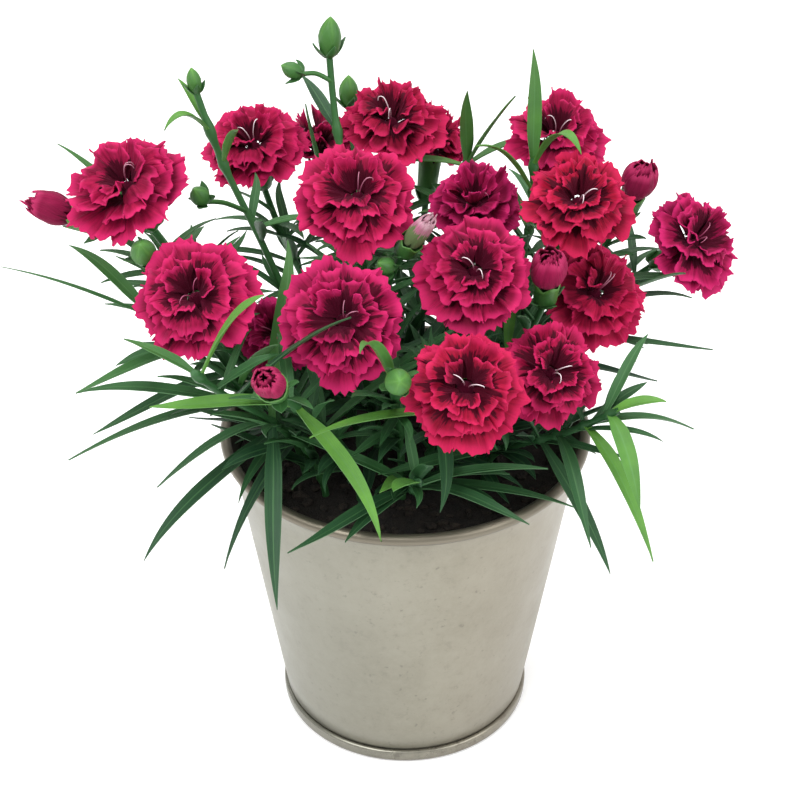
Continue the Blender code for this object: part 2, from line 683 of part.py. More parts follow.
def flower(name, centre, facing, radius, counts, layers, mat):
    """Layers of toothed petals round one core, the lowest part of it the plug for the calyx"""
    f = Flower(centre, facing, radius)
    rng = random.Random(sum(ord(ch) for ch in name) * 13)
    foot_ring = f.ring(PLUG_RADIUS, -PLUG_FOOT, STEM_SIDES, 0.0)
    below = f.ring(PLUG_RADIUS, -1.6, STEM_SIDES, 0.0)
    f.faces.append(foot_ring)
    f.faces += bridge(foot_ring, 0.0, below, 0.0)
    below_turn = 0.0
    for index, (count, layer) in enumerate(zip(counts, layers)):
        foot, mid_out, mid_up, rim_out, rim_up, half, steep, points, core = layer
        sides = count if count > 2 else 4
        turn = 0.5 * index + rng.uniform(0.0, 0.5)
        low = f.ring(core, foot - PETAL_THICKNESS, sides, turn)
        high = f.ring(core, foot, sides, turn)
        f.faces += bridge(below, below_turn, low, turn)
        for k in range(sides):
            j = (k + 1) % sides
            if sides != count and k % 2:
                f.faces.append([low[k], low[j], high[j], high[k]])
                continue
            angle = turn + 2 * math.pi * (k + 0.5) / sides
            wide = math.radians(half) * (1.12 if count == 3 and sides == 3 else 1.0)
            grow = rng.uniform(0.95, 1.03)
            lift = rng.uniform(-0.3, 0.35)
            mid = [(mid_out * radius, s * wide * 0.72, mid_up + s * 0.5) for s in (-1, 0, 1)]
            rim = []
            for q in range(points):
                s = 2 * q / (points - 1) - 1
                notch = 0.92 if q % 2 else 1.0
                wave = 0.9 if q % 2 else -0.4
                rim.append((rim_out * radius * grow * notch, s * wide, rim_up + lift + s * 1.1 + wave))
            f.petal([high[k], high[j]], [low[k], low[j]], angle, [mid, rim], steep)
        below, below_turn = high, turn
    top = f.spot(0.0, 0.0, foot + 1.6)
    for k in range(len(below)):
        f.faces.append([below[k], below[(k + 1) % len(below)], top])
    return new_object(name, f.verts, f.faces, mat)


def fuse(base, extras):
    """Join the extras to the base in one Boolean union and keep one closed body"""
    if not extras:
        return base
    folder = bpy.data.collections.new(base.name + "_extras")
    bpy.context.scene.collection.children.link(folder)
    for obj in extras:
        bpy.context.scene.collection.objects.unlink(obj)
        folder.objects.link(obj)
    mod = base.modifiers.new("fuse", "BOOLEAN")
    mod.operation = "UNION"
    mod.operand_type = "COLLECTION"
    mod.collection = folder
    mod.solver = "MANIFOLD"
    bpy.context.view_layer.update()
    bpy.ops.object.select_all(action="DESELECT")
    base.select_set(True)
    bpy.context.view_layer.objects.active = base
    bpy.ops.object.modifier_apply(modifier=mod.name)
    for obj in extras:
        bpy.data.objects.remove(obj, do_unlink=True)
    bpy.data.collections.remove(folder)
    largest_only(base)
    return base


def largest_only(obj):
    """Drop loose scraps and spare points on flat faces, so the node stays one plain body"""
    bm = bmesh.new()
    bm.from_mesh(obj.data)
    bm.verts.ensure_lookup_table()
    seen, groups = set(), []
    for v in bm.verts:
        if v.index in seen:
            continue
        stack, group = [v], []
        seen.add(v.index)
        while stack:
            w = stack.pop()
            group.append(w)
            for e in w.link_edges:
                o = e.other_vert(w)
                if o.index not in seen:
                    seen.add(o.index)
                    stack.append(o)
        groups.append(group)
    groups.sort(key=len)
    for group in groups[:-1]:
        bmesh.ops.delete(bm, geom=group, context="VERTS")
    bmesh.ops.dissolve_limit(bm, angle_limit=FLAT_ANGLE, verts=bm.verts, edges=bm.edges)
    bmesh.ops.triangulate(bm, faces=bm.faces)
    bm.to_mesh(obj.data)
    bm.free()


def build_pot(zinc, seam):
    """The tapered wall with its rolled rim, and the bottom with its seam bead"""
    wall = [(46.15, 1.6), (46.25, 5.6), (WALL_FOOT_RADIUS, WALL_FOOT_Z),
            (WALL_TOP_RADIUS, WALL_TOP_Z), (66.9, 121.0), (RIM_RADIUS, 122.9),
            (66.6, 124.6), (65.3, POT_HEIGHT), (64.0, 124.3), (63.4, 122.0),
            (WALL_FOOT_RADIUS - SHEET, WALL_FOOT_Z + 0.3), (45.5, 1.6)]
    verts, faces = lathe(wall, True, POT_SIDES)
    new_object("pot_wall", verts, faces, zinc)
    base = [(0.0, 0.0), (47.3, 0.0), (FOOT_RADIUS, 0.9), (FOOT_RADIUS, 4.1),
            (47.4, SEAM_HEIGHT), (46.6, 4.6), (46.6, FLOOR_THICKNESS), (0.0, FLOOR_THICKNESS)]
    verts, faces = lathe(base, False, POT_SIDES)
    new_object("pot_base", verts, faces, seam)


def build_soil(roots, mat):
    """The soil body with a plain hole for each stem"""
    body = [(0.0, 1.6), (44.9, 1.6), (SOIL_FOOT_RADIUS, WALL_FOOT_Z + 0.3),
            (SOIL_TOP_RADIUS, SOIL_Z), (0.0, SOIL_Z)]
    verts, faces = lathe(body, False, POT_SIDES)
    soil = new_object("potting_soil", verts, faces, mat)
    verts, faces = [], []
    for x, y in roots:
        first = len(verts)
        for z in (HOLE_FLOOR_Z, SOIL_Z + 1.0):
            for k in range(HOLE_SIDES):
                a = 2 * math.pi * (k + 0.5) / HOLE_SIDES
                verts.append((x + HOLE_RADIUS * math.cos(a), y + HOLE_RADIUS * math.sin(a), z))
        for k in range(HOLE_SIDES):
            j = (k + 1) % HOLE_SIDES
            over = first + HOLE_SIDES
            faces.append([first + k, first + j, over + j, over + k])
        faces.append([first + k for k in range(HOLE_SIDES)])
        faces.append([first + HOLE_SIDES + k for k in range(HOLE_SIDES)])
    cutter = new_object("hole_cutter", verts, faces, None)
    mod = soil.modifiers.new("holes", "BOOLEAN")
    mod.operation = "DIFFERENCE"
    mod.object = cutter
    mod.solver = "EXACT"
    bpy.context.view_layer.update()
    bpy.ops.object.select_all(action="DESELECT")
    soil.select_set(True)
    bpy.context.view_layer.objects.active = soil
    bpy.ops.object.modifier_apply(modifier=mod.name)
    bpy.data.objects.remove(cutter, do_unlink=True)
    largest_only(soil)


def side_bud(name, chain):
    """The small buds that branch from a stem"""
    solids = []
    for stem, where, end, way, radius, length in SIDE_BUDS:
        if stem != name:
            continue
        start, along = on_stem(chain, where)
        line = [start, np.array(end, float)]
        head = [(0.25 * length, radius), (0.65 * length, radius * 0.9), (length, 0.8)]
        stalk = stem_line_solid(line, way, head)
        solids.append(stalk)
    return solids


def stem_line_solid(line, way, head):
    """A short branch with a bud at its end"""
    n = unit(way)
    frame = frame_of(way)
    frames = carried_frames(line, frame)
    points = list(line)
    radii = [0.9] * len(line)
    for height, radius in head:
        points.append(line[-1] + n * height)
        radii.append(radius)
        frames.append(frame)
    verts, faces = tube(points, radii, frames, STEM_SIDES)
    return new_object("branch", verts, faces, None)


def build_plant(stems, crimson, bud_crimson, green):
    """Blooms, their stems, bud stems and leafy shoots"""
    up = CALYX_FOOT
    cup = [(4.0, 3.5), (up - CALYX_TOP, CALYX_RADIUS),
           (up - CALYX_TOP, SOCKET_RADIUS), (up - SOCKET_FLOOR, SOCKET_RADIUS)]
    for name, centre, facing, size, counts in BLOOMS:
        flower(name, centre, facing, size, counts, BLOOM_LAYERS, crimson)
        stem = "bloom_stem" + name[5:]
        owner, chain, leaves = stems[stem]
        solid = stem_solid(stem, chain, facing, cup, green)
        fuse(solid, [leaf_solid(lines) for lines in leaves])
    for name, end, way, radius, length, petals in BUD_STEMS:
        owner, chain, leaves = stems[name]
        if petals:
            head = [(0.2 * length, radius * 0.8), (0.6 * length, radius), (length, radius * 0.92),
                    (length, SOCKET_RADIUS), (length - 3.4, SOCKET_RADIUS)]
        else:
            head = [(0.2 * length, radius * 0.85), (0.5 * length, radius),
                    (0.8 * length, radius * 0.7), (length, 0.8)]
        solid = stem_solid(name, chain, way, head, green)
        fuse(solid, [leaf_solid(lines) for lines in leaves] + side_bud(name, chain))
        if petals:
            centre = np.array(end, float) + unit(way) * (length + CALYX_TOP)
            flower("bud_petals" + name[8:], centre, way, petals, (4, 2), BUD_LAYERS, bud_crimson)
    for name, end, way in SHOOTS:
        owner, chain, leaves = stems[name]
        solid = stem_solid(name, chain, way, [(2.0, 0.9)], green)
        fuse(solid, [leaf_solid(lines) for lines in leaves])


for old in list(bpy.data.objects):
    bpy.data.objects.remove(old, do_unlink=True)

root_spots, plant = lay_out()
build_pot(material("zinc", ZINC, 0.38, 0.9), material("seam_zinc", SEAM_ZINC, 0.32, 0.95))
build_soil(root_spots, material("soil", SOIL_COLOUR, 0.95, 0.0))
build_plant(plant, material("petal_crimson", CRIMSON, 0.6, 0.0),
            material("bud_crimson", BUD_CRIMSON, 0.6, 0.0),
            material("leaf_green", GREEN, 0.55, 0.0))
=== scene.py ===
import bpy
import math
import random
import numpy as np
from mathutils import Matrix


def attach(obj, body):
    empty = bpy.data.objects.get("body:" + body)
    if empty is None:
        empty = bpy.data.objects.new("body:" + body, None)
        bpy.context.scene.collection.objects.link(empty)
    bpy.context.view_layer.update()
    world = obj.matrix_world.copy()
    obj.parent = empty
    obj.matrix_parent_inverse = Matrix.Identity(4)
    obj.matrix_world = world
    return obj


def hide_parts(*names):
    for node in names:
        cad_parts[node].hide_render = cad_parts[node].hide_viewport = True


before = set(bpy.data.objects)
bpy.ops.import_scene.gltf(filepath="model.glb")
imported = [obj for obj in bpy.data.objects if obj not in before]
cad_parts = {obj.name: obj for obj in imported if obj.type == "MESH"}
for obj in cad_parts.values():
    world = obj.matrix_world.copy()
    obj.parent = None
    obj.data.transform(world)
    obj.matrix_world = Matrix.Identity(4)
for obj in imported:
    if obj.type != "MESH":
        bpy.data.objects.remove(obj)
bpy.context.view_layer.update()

# The view. The photograph looks down at the plant from in front through a short telephoto
# lens, on a plain white ground under broad soft light.
MM = 0.001
LENS_MM = 85.0
CAMERA_PLACE = (-1.9 * MM, -560.8 * MM, 525.6 * MM)
LOOK_DOWN = math.radians(34.83)
SENSOR_MM = 36.0
FLOOR_SIZE = 6.0
FLOOR_DROP = 0.0003
FLOOR_GLOW = 0.22
WORLD_LIGHT = 0.72
AIM_HEIGHT = 0.16
WHITE = (1.0, 1.0, 1.0, 1.0)


def put(tree, kind, settings=None, sockets=None):
    """Add a node, set its settings, and fill or link its input sockets"""
    node = tree.nodes.new(kind)
    for name, value in (settings or {}).items():
        setattr(node, name, value)
    for key, value in (sockets or {}).items():
        if isinstance(value, bpy.types.NodeSocket):
            tree.links.new(value, node.inputs[key])
        else:
            node.inputs[key].default_value = value
    return node


def fresh_material(name):
    """An empty node material and its output node"""
    mat = bpy.data.materials.new(name)
    mat.use_nodes = True
    tree = mat.node_tree
    tree.nodes.clear()
    return mat, tree, tree.nodes.new("ShaderNodeOutputMaterial")


def coat(tree, out, sockets):
    """Give a material its surface"""
    paint = put(tree, "ShaderNodeBsdfPrincipled", None, sockets)
    tree.links.new(paint.outputs[0], out.inputs[0])


bpy.ops.object.camera_add(location=CAMERA_PLACE, rotation=(math.pi / 2 - LOOK_DOWN, 0.0, 0.0))
camera = bpy.context.object
camera.name = "photo_camera"
camera.data.lens = LENS_MM
camera.data.sensor_width = SENSOR_MM
camera.data.sensor_fit = "HORIZONTAL"
camera.data.clip_start = 0.02
bpy.context.scene.camera = camera
bpy.context.scene.view_settings.view_transform = "Standard"

bpy.ops.mesh.primitive_plane_add(size=FLOOR_SIZE, location=(0.0, 0.0, -FLOOR_DROP))
floor = bpy.context.object
floor.name = "studio_floor"
floor_mat, tree, out = fresh_material("floor_white")
coat(tree, out, {"Base Color": (0.88, 0.88, 0.88, 1.0), "Roughness": 0.9,
                 "Emission Color": WHITE, "Emission Strength": FLOOR_GLOW})
floor.data.materials.append(floor_mat)

world = bpy.data.worlds.new("studio_light")
bpy.context.scene.world = world
world.use_nodes = True
tree = world.node_tree
backdrop = tree.nodes["Background"]
backdrop.inputs["Color"].default_value = WHITE
straight = put(tree, "ShaderNodeLightPath").outputs["Is Camera Ray"]
strength = put(tree, "ShaderNodeMapRange", None,
               {"Value": straight, "To Min": WORLD_LIGHT, "To Max": 1.0})
tree.links.new(strength.outputs[0], backdrop.inputs["Strength"])

# Softboxes: place, size and power of each, all aimed at the middle of the plant
SOFTBOXES = (("key_softbox", (-0.55, -0.65, 1.15), 0.9, 13.0),
             ("fill_softbox", (0.85, -0.55, 0.75), 0.9, 7.0),
             ("top_softbox", (0.0, 0.35, 1.25), 1.0, 10.0))
for name, place, size, power in SOFTBOXES:
    bpy.ops.object.light_add(type="AREA", location=place)
    box_light = bpy.context.object
    box_light.name = name
    box_light.data.size = size
    box_light.data.energy = power
    aim = np.array((0.0, 0.0, AIM_HEIGHT)) - np.array(place)
    box_light.rotation_euler = (math.atan2(math.hypot(aim[0], aim[1]), -aim[2]), 0.0,
                                math.atan2(aim[1], aim[0]) - math.pi / 2)

# Pot wall. The real pot is one sheet of galvanised zinc rolled into a taper, with its top edge
# rolled over a wire into a rim bead; a soft satin, faintly clouded finish.
ZINC = (0.238, 0.222, 0.172, 1.0)
ZINC_PALE = (0.310, 0.292, 0.235, 1.0)
# Painted reflection: a cooler tint for the wall's left and a warmer one for its right
ZINC_COOL_REFLECTION = (0.238, 0.242, 0.208, 1.0)
ZINC_WARM_REFLECTION = (0.255, 0.225, 0.176, 1.0)
ZINC_BEAD = (0.180, 0.160, 0.120, 1.0)
# Dark specks and mottle, and the painted shade under the rim bead
ZINC_SPECK_AND_SHADE = (0.12, 0.105, 0.085, 1.0)
WALL_TURN_STEPS = 160
WALL_STEPS = 12
WALL_FOOT = (47.0, 6.4)
WALL_SPREAD = 17.0
WALL_RISE = 114.1
RIM_BEAD = 2.1
BEAD_CENTRE = (65.4, 122.9)


def only(obj):
    """Select this object alone and make it active"""
    bpy.ops.object.select_all(action="DESELECT")
    obj.select_set(True)
    bpy.context.view_layer.objects.active = obj


def set_out(name, points, edges, faces):
    """A new object of these points, edges and faces"""
    mesh = bpy.data.meshes.new(name)
    mesh.from_pydata(points, edges, faces)
    obj = bpy.data.objects.new(name, mesh)
    bpy.context.scene.collection.objects.link(obj)
    return obj


def turn_profile(name, profile, steps):
    """Spin an open or closed profile of radius and height round the pot's axis"""
    obj = set_out(name, [(r * MM, 0.0, z * MM) for r, z in profile],
                  [(k, k + 1) for k in range(len(profile) - 1)], [])
    only(obj)
    bpy.ops.object.mode_set(mode="EDIT")
    bpy.ops.mesh.select_all(action="SELECT")
    bpy.ops.mesh.spin(steps=steps, angle=2 * math.pi, center=(0.0, 0.0, 0.0), axis=(0.0, 0.0, 1.0))
    bpy.ops.mesh.select_all(action="SELECT")
    bpy.ops.mesh.remove_doubles(threshold=0.00001)
    bpy.ops.mesh.normals_make_consistent(inside=False)
    bpy.ops.object.mode_set(mode="OBJECT")
    bpy.ops.object.shade_smooth()
    return obj


def arc(cx, cz, radius, start, end, count):
    """Points on a round stretch of a profile, by angles in degrees"""
    turns = [math.radians(start + (end - start) * k / (count - 1)) for k in range(count)]
    return [(cx + radius * math.cos(a), cz + radius * math.sin(a)) for a in turns]


def noise(tree, vector, scale, detail, roughness=0.5):
    """An irregular grain of the given scale"""
    return put(tree, "ShaderNodeTexNoise", None,
               {"Vector": vector, "Scale": scale, "Detail": detail,
                "Roughness": roughness}).outputs["Fac"]


def bumped(tree, height, strength, distance):
    """Small relief on a surface"""
    return put(tree, "ShaderNodeBump", None,
               {"Height": height, "Strength": strength, "Distance": distance}).outputs[0]


def cloudy_group():
    """Soft irregular clouding between two values, for zinc, soil, leaves and petals"""
    group = bpy.data.node_groups.new("clouding", "ShaderNodeTree")
    for name, kind in (("Vector", "NodeSocketVector"), ("Scale", "NodeSocketFloat"),
                       ("Low", "NodeSocketFloat"), ("High", "NodeSocketFloat")):
        group.interface.new_socket(name=name, in_out="INPUT", socket_type=kind)
    group.interface.new_socket(name="Value", in_out="OUTPUT", socket_type="NodeSocketFloat")
    given = group.nodes.new("NodeGroupInput")
    result = group.nodes.new("NodeGroupOutput")
    grain = noise(group, given.outputs["Vector"], given.outputs["Scale"], 5.0, 0.6)
    spread_out = put(group, "ShaderNodeMapRange", None,
                     {"Value": grain, "From Min": 0.3, "From Max": 0.7,
                      "To Min": given.outputs["Low"], "To Max": given.outputs["High"]})
    group.links.new(spread_out.outputs[0], result.inputs["Value"])
    return group


CLOUDING = cloudy_group()


def clouding(tree, vector, scale, low, high):
    """Place the clouding group in a material"""
    return put(tree, "ShaderNodeGroup", {"node_tree": CLOUDING},
               {"Vector": vector, "Scale": scale, "Low": low, "High": high}).outputs["Value"]


def mix(tree, factor, a, b):
    """Colour a mixed towards colour b"""
    return put(tree, "ShaderNodeMix", {"data_type": "RGBA"},
               {"Factor": factor, 6: a, 7: b}).outputs[2]


def ranged(tree, value, low, high, to_low=0.0, to_high=1.0):
    """A value between low and high spread smoothly to a new range"""
    return put(tree, "ShaderNodeMapRange", {"interpolation_type": "SMOOTHSTEP"},
               {"Value": value, "From Min": low, "From Max": high,
                "To Min": to_low, "To Max": to_high}).outputs[0]


def zinc_material(name, base, pale, rough, darkening):
    """Galvanised sheet: satin, clouded and mottled, with tiny specks; a painted reflection, cool on
    the left and warm on the right; painted shade under the rim bead; darker towards the foot of the
    seam
    """
    mat, tree, out = fresh_material(name)
    where = put(tree, "ShaderNodeTexCoord").outputs["Object"]
    tall = put(tree, "ShaderNodeMapping", None, {"Vector": where, "Scale": (1.0, 1.0, 0.25)})
    place = put(tree, "ShaderNodeSeparateXYZ", None, {"Vector": where})
    across, height = place.outputs["X"], place.outputs["Z"]
    mottle = noise(tree, where, 230.0, 6.0, 0.8)
    colour = mix(tree, clouding(tree, where, 22.0, 0.0, 1.0), base, pale)
    colour = mix(tree, clouding(tree, tall.outputs[0], 90.0, 0.0, 0.6), colour, base)
    for value, low, high, to_low, to_high, tint in (
            (noise(tree, where, 420.0, 2.0), 0.65, 0.76, 0.0, 0.55, ZINC_SPECK_AND_SHADE),
            (mottle, 0.50, 0.60, 0.0, 0.30, pale),
            (mottle, 0.36, 0.47, 0.22 + darkening, 0.0, ZINC_SPECK_AND_SHADE),
            # Painted reflection: cooler towards the left, warmer towards the right
            (across, -0.05, 0.03, 0.55, 0.0, ZINC_COOL_REFLECTION),
            (across, 0.0, 0.05, 0.0, 0.50, ZINC_WARM_REFLECTION),
            # Painted shade: dark from the crease under the rim bead upward, for the shade beneath
            # the bead; the bead's top is tinted over it next
            (height, 0.1200, 0.1207, 0.0, 0.80, ZINC_SPECK_AND_SHADE),
            (height, 0.1216, 0.1224, 0.0, 0.75, ZINC_BEAD),
            # Darker towards the foot of the seam
            (height, 0.0004, 0.0026, darkening, 0.0, ZINC_SPECK_AND_SHADE)):
        colour = mix(tree, ranged(tree, value, low, high, to_low, to_high), colour, tint)
    coat(tree, out, {"Base Color": colour, "Metallic": 0.72,
                     "Roughness": clouding(tree, where, 35.0, rough - 0.06, rough + 0.08),
                     "Normal": bumped(tree, noise(tree, where, 700.0, 3.0), 0.08, 0.0004)})
    return mat


wall_profile = [(46.15, 1.6), (46.25, 5.5), (46.7, 6.0), WALL_FOOT]
wall_profile += [(WALL_FOOT[0] + WALL_SPREAD * k / WALL_STEPS,
                  WALL_FOOT[1] + WALL_RISE * k / WALL_STEPS) for k in range(1, WALL_STEPS + 1)]
wall_profile += [(64.35, 121.1)] + arc(*BEAD_CENTRE, RIM_BEAD, -110, 180, 15)
wall_profile += [(63.25, 121.0), (62.2, 113.0), (54.5, 61.0), (46.3, 6.5), (45.5, 1.6),
                 (46.15, 1.6)]
pot_wall = turn_profile("pot_wall_sheet", wall_profile, WALL_TURN_STEPS)
pot_wall.data.materials.append(zinc_material("satin_zinc", ZINC, ZINC_PALE, 0.36, 0.0))
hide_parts("pot_wall")
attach(pot_wall, "root")

# Pot bottom. A disc of the same sheet folded up round the foot of the wall into a seam bead,
# darker than the wall and darker still towards its foot, with a dark crease above it.
SEAM_ZINC = (0.17, 0.16, 0.13, 1.0)
SEAM_DARKENING = 0.55

seam_profile = [(0.0, 0.0), (46.4, 0.0)] + arc(46.6, 1.4, 1.4, -90, 0, 6)
seam_profile += arc(46.9, 3.9, 1.15, 0, 130, 7) + [(46.62, 4.2), (46.6, 1.25), (0.0, 1.2)]
pot_base = turn_profile("pot_seam_bottom", seam_profile, WALL_TURN_STEPS)
pot_base.data.materials.append(zinc_material("seam_zinc", SEAM_ZINC, ZINC_PALE, 0.26, SEAM_DARKENING))
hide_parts("pot_base")
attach(pot_base, "root")

# Potting soil. Dark moist peat that fills the pot to a finger below the rim, crumbled on top,
# with bits of bark.
SOIL_TOP_Z = 112.0
SOIL_EDGE = 61.8
SOIL_TURN_STEPS = 72
CRUMBLED_TO = 59.5
CLOD_COUNT = 420
PEAT = ((0.004, 0.0032, 0.0026, 1.0), (0.018, 0.013, 0.0095, 1.0))
BARK = ((0.005, 0.004, 0.003, 1.0), (0.036, 0.026, 0.018, 1.0))


def soil_material(name, dark, light):
    """Crumbly matt earth"""
    mat, tree, out = fresh_material(name)
    where = put(tree, "ShaderNodeTexCoord").outputs["Object"]
    coat(tree, out, {"Base Color": mix(tree, clouding(tree, where, 260.0, 0.0, 1.0), dark, light),
                     "Roughness": 0.95,
                     "Normal": bumped(tree, noise(tree, where, 900.0, 4.0), 0.7, 0.0012)})
    return mat


soil_profile = [(0.0, 1.6), (44.9, 1.6), (45.8, 6.5), (53.9, 59.0), (61.0, SOIL_TOP_Z - 1.2)]
soil_profile += [(58.0 - 5.8 * k, SOIL_TOP_Z - 0.4) for k in range(10)] + [(0.0, SOIL_TOP_Z - 0.4)]
soil = turn_profile("potting_soil_body", soil_profile, SOIL_TURN_STEPS)
rng = random.Random(5)
for v in soil.data.vertices:
    if v.co.z > (SOIL_TOP_Z - 1.0) * MM and math.hypot(v.co.x, v.co.y) < CRUMBLED_TO * MM:
        v.co.z += rng.uniform(-1.2, 0.9) * MM
soil.data.materials.append(soil_material("peat", *PEAT))
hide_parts("potting_soil")
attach(soil, "root")

# Crumbs. Each starts as a small round clod, squashed and dented by chance, and lies on the soil.
bpy.ops.mesh.primitive_ico_sphere_add(subdivisions=1, radius=1.0)
clod = bpy.context.object
clod_verts = np.array([v.co[:] for v in clod.data.vertices])
clod_faces = [tuple(p.vertices) for p in clod.data.polygons]
bpy.data.objects.remove(clod, do_unlink=True)
verts, faces = [], []
for k in range(CLOD_COUNT):
    out_at = SOIL_EDGE * 0.95 * math.sqrt(rng.random())
    turn = rng.uniform(0, 2 * math.pi)
    size = np.array([rng.uniform(0.7, 2.4), rng.uniform(0.7, 2.2), rng.uniform(0.5, 1.3)])
    place = np.array((out_at * math.cos(turn), out_at * math.sin(turn), SOIL_TOP_Z + 0.1))
    first = len(verts)
    verts += [tuple((place + v * size * rng.uniform(0.8, 1.2)) * MM) for v in clod_verts]
    faces += [tuple(first + i for i in f) for f in clod_faces]
crumbs = set_out("soil_crumbs", verts, [], faces)
crumbs.data.materials.append(soil_material("crumb_bark", *BARK))
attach(crumbs, "root")

# How the plant stands. Each stem is rooted in the soil, rises and bends out to its bloom or bud,
# and bears its leaves in opposite pairs, each pair turned a quarter from the one below. The same
# plan as the solids', in millimetres, so that every finer piece lies where its solid is.
RIM_RADIUS = 67.5
POT_HEIGHT = 125.0
ROOT_Z = 104.0
ROOT_SPACING = 5.4
ROOT_SPREAD = 0.42
ROOT_LIMIT = 50.0
STEM_RADIUS = 1.3
STEM_STATIONS = 3
CALYX_RADIUS = 4.2
CALYX_FOOT = 20.0
CALYX_TOP = 2.2
LEAF_STATIONS = (0.0, 0.3, 0.68)
LEAF_WIDTHS = (0.35, 0.95, 0.9)
SKIRT_STATIONS = (0.0, 0.3)
SKIRT_FOOT = 0.5
SKIRT_COUNT = 24
SKIRT_SEED = 11
SKIRT_TRIES = 9000
LEAF_LIMIT = {"bloom": 3, "bud": 2, "leafy": 8}

# Each bloom: middle of the face, way it faces, radius
BLOOMS = (
    ("bloom_01", (-92, -4, 223), (-0.25, -0.35, 0.90), 21.0),
    ("bloom_02", (-55, 58, 206), (-0.10, -0.35, 0.93), 19.0),
    ("bloom_03", (-16, -2, 218), (0.00, -0.50, 0.87), 20.5),
    ("bloom_04", (-5, 63, 213), (0.00, -0.28, 0.96), 19.0),
    ("bloom_05", (55, 60, 209), (0.10, -0.30, 0.95), 19.0),
    ("bloom_06", (59, 9, 210), (0.12, -0.45, 0.88), 19.0),
    ("bloom_07", (104, 38, 178), (0.55, -0.45, 0.70), 20.0),
    ("bloom_08", (25, 35, 195), (0.00, -0.35, 0.94), 17.5),
    ("bloom_09", (23, -20, 200), (0.05, -0.62, 0.78), 20.0),
    ("bloom_10", (66, 6, 176), (0.35, -0.60, 0.72), 19.0),
    ("bloom_11", (-68, -38, 201), (-0.15, -0.62, 0.77), 20.5),
    ("bloom_12", (-20, -42, 195), (-0.05, -0.72, 0.69), 20.5),
    ("bloom_13", (-44, -12, 170), (-0.10, -0.65, 0.75), 13.5),
    ("bloom_14", (19, -63, 183), (0.05, -0.68, 0.73), 19.5),
    ("bloom_15", (48, -34, 169), (0.30, -0.62, 0.72), 17.5),
    ("bloom_16", (-33, 86, 191), (-0.10, 0.25, 0.96), 15.5),
    ("bloom_17", (10, 86, 191), (0.10, 0.20, 0.97), 15.5),
)

# Each bud stem: its end, the way the bud points, bud radius and length, and petal radius or none
BUD_STEMS = (
    ("bud_stem_01", (-27, 59, 243), (0.05, -0.05, 1.0), 4.2, 15.0, 0.0),
    ("bud_stem_02", (-21, 82, 212), (0.0, 0.1, 1.0), 3.8, 12.0, 0.0),
    ("bud_stem_03", (-72, 33, 241), (-0.15, 0.1, 1.0), 2.6, 9.0, 0.0),
    ("bud_stem_04", (-86, -20, 206), (-0.05, -0.6, 0.8), 4.4, 12.0, 0.0),
    ("bud_stem_05", (-1, -11, 203), (0.4, -0.4, 0.82), 4.0, 8.0, 4.2),
    ("bud_stem_06", (-3, -68, 189), (0.1, -0.8, 0.6), 4.3, 10.0, 0.0),
    ("bud_stem_07", (-41, -70, 187), (-0.1, -0.7, 0.7), 5.0, 9.0, 6.0),
    ("bud_stem_08", (-104, 7, 203), (-0.88, -0.05, 0.4), 4.6, 12.0, 6.5),
    ("bud_stem_09", (81, 51, 183), (0.2, -0.3, 0.93), 4.6, 12.0, 8.0),
    ("bud_stem_10", (48, -7, 181), (0.0, -0.35, 0.93), 4.6, 12.0, 7.0),
)

# Small side buds: the stem they branch from, where along it, their end and way, radius, length
SIDE_BUDS = (
    ("bud_stem_01", 0.93, (-37, 54, 238), (-0.85, -0.15, 0.5), 3.0, 8.0),
    ("bud_stem_03", 0.66, (-69, 10, 211), (-0.3, -0.5, 0.8), 3.4, 9.0),
    ("bud_stem_05", 0.90, (-5, -16, 200), (-0.5, -0.6, 0.6), 3.2, 8.0),
)

# Shoots with leaves only: the end and the way it points
SHOOTS = (
    ("leafy_shoot_01", (45.5, 38, 212), (0.0, 0.0, 1.0)),
    ("leafy_shoot_02", (23, 61, 204), (0.0, 0.0, 1.0)),
    ("leafy_shoot_03", (-86, -28, 190), (-0.5, -0.1, 0.85)),
    ("leafy_shoot_04", (-67, -62, 188), (-0.3, -0.4, 0.85)),
    ("leafy_shoot_05", (70, -42, 159), (0.6, -0.35, 0.7)),
    ("leafy_shoot_06", (4, -66, 148), (0.1, -0.6, 0.8)),
    ("leafy_shoot_07", (58, 62, 172), (0.5, 0.6, 0.6)),
)

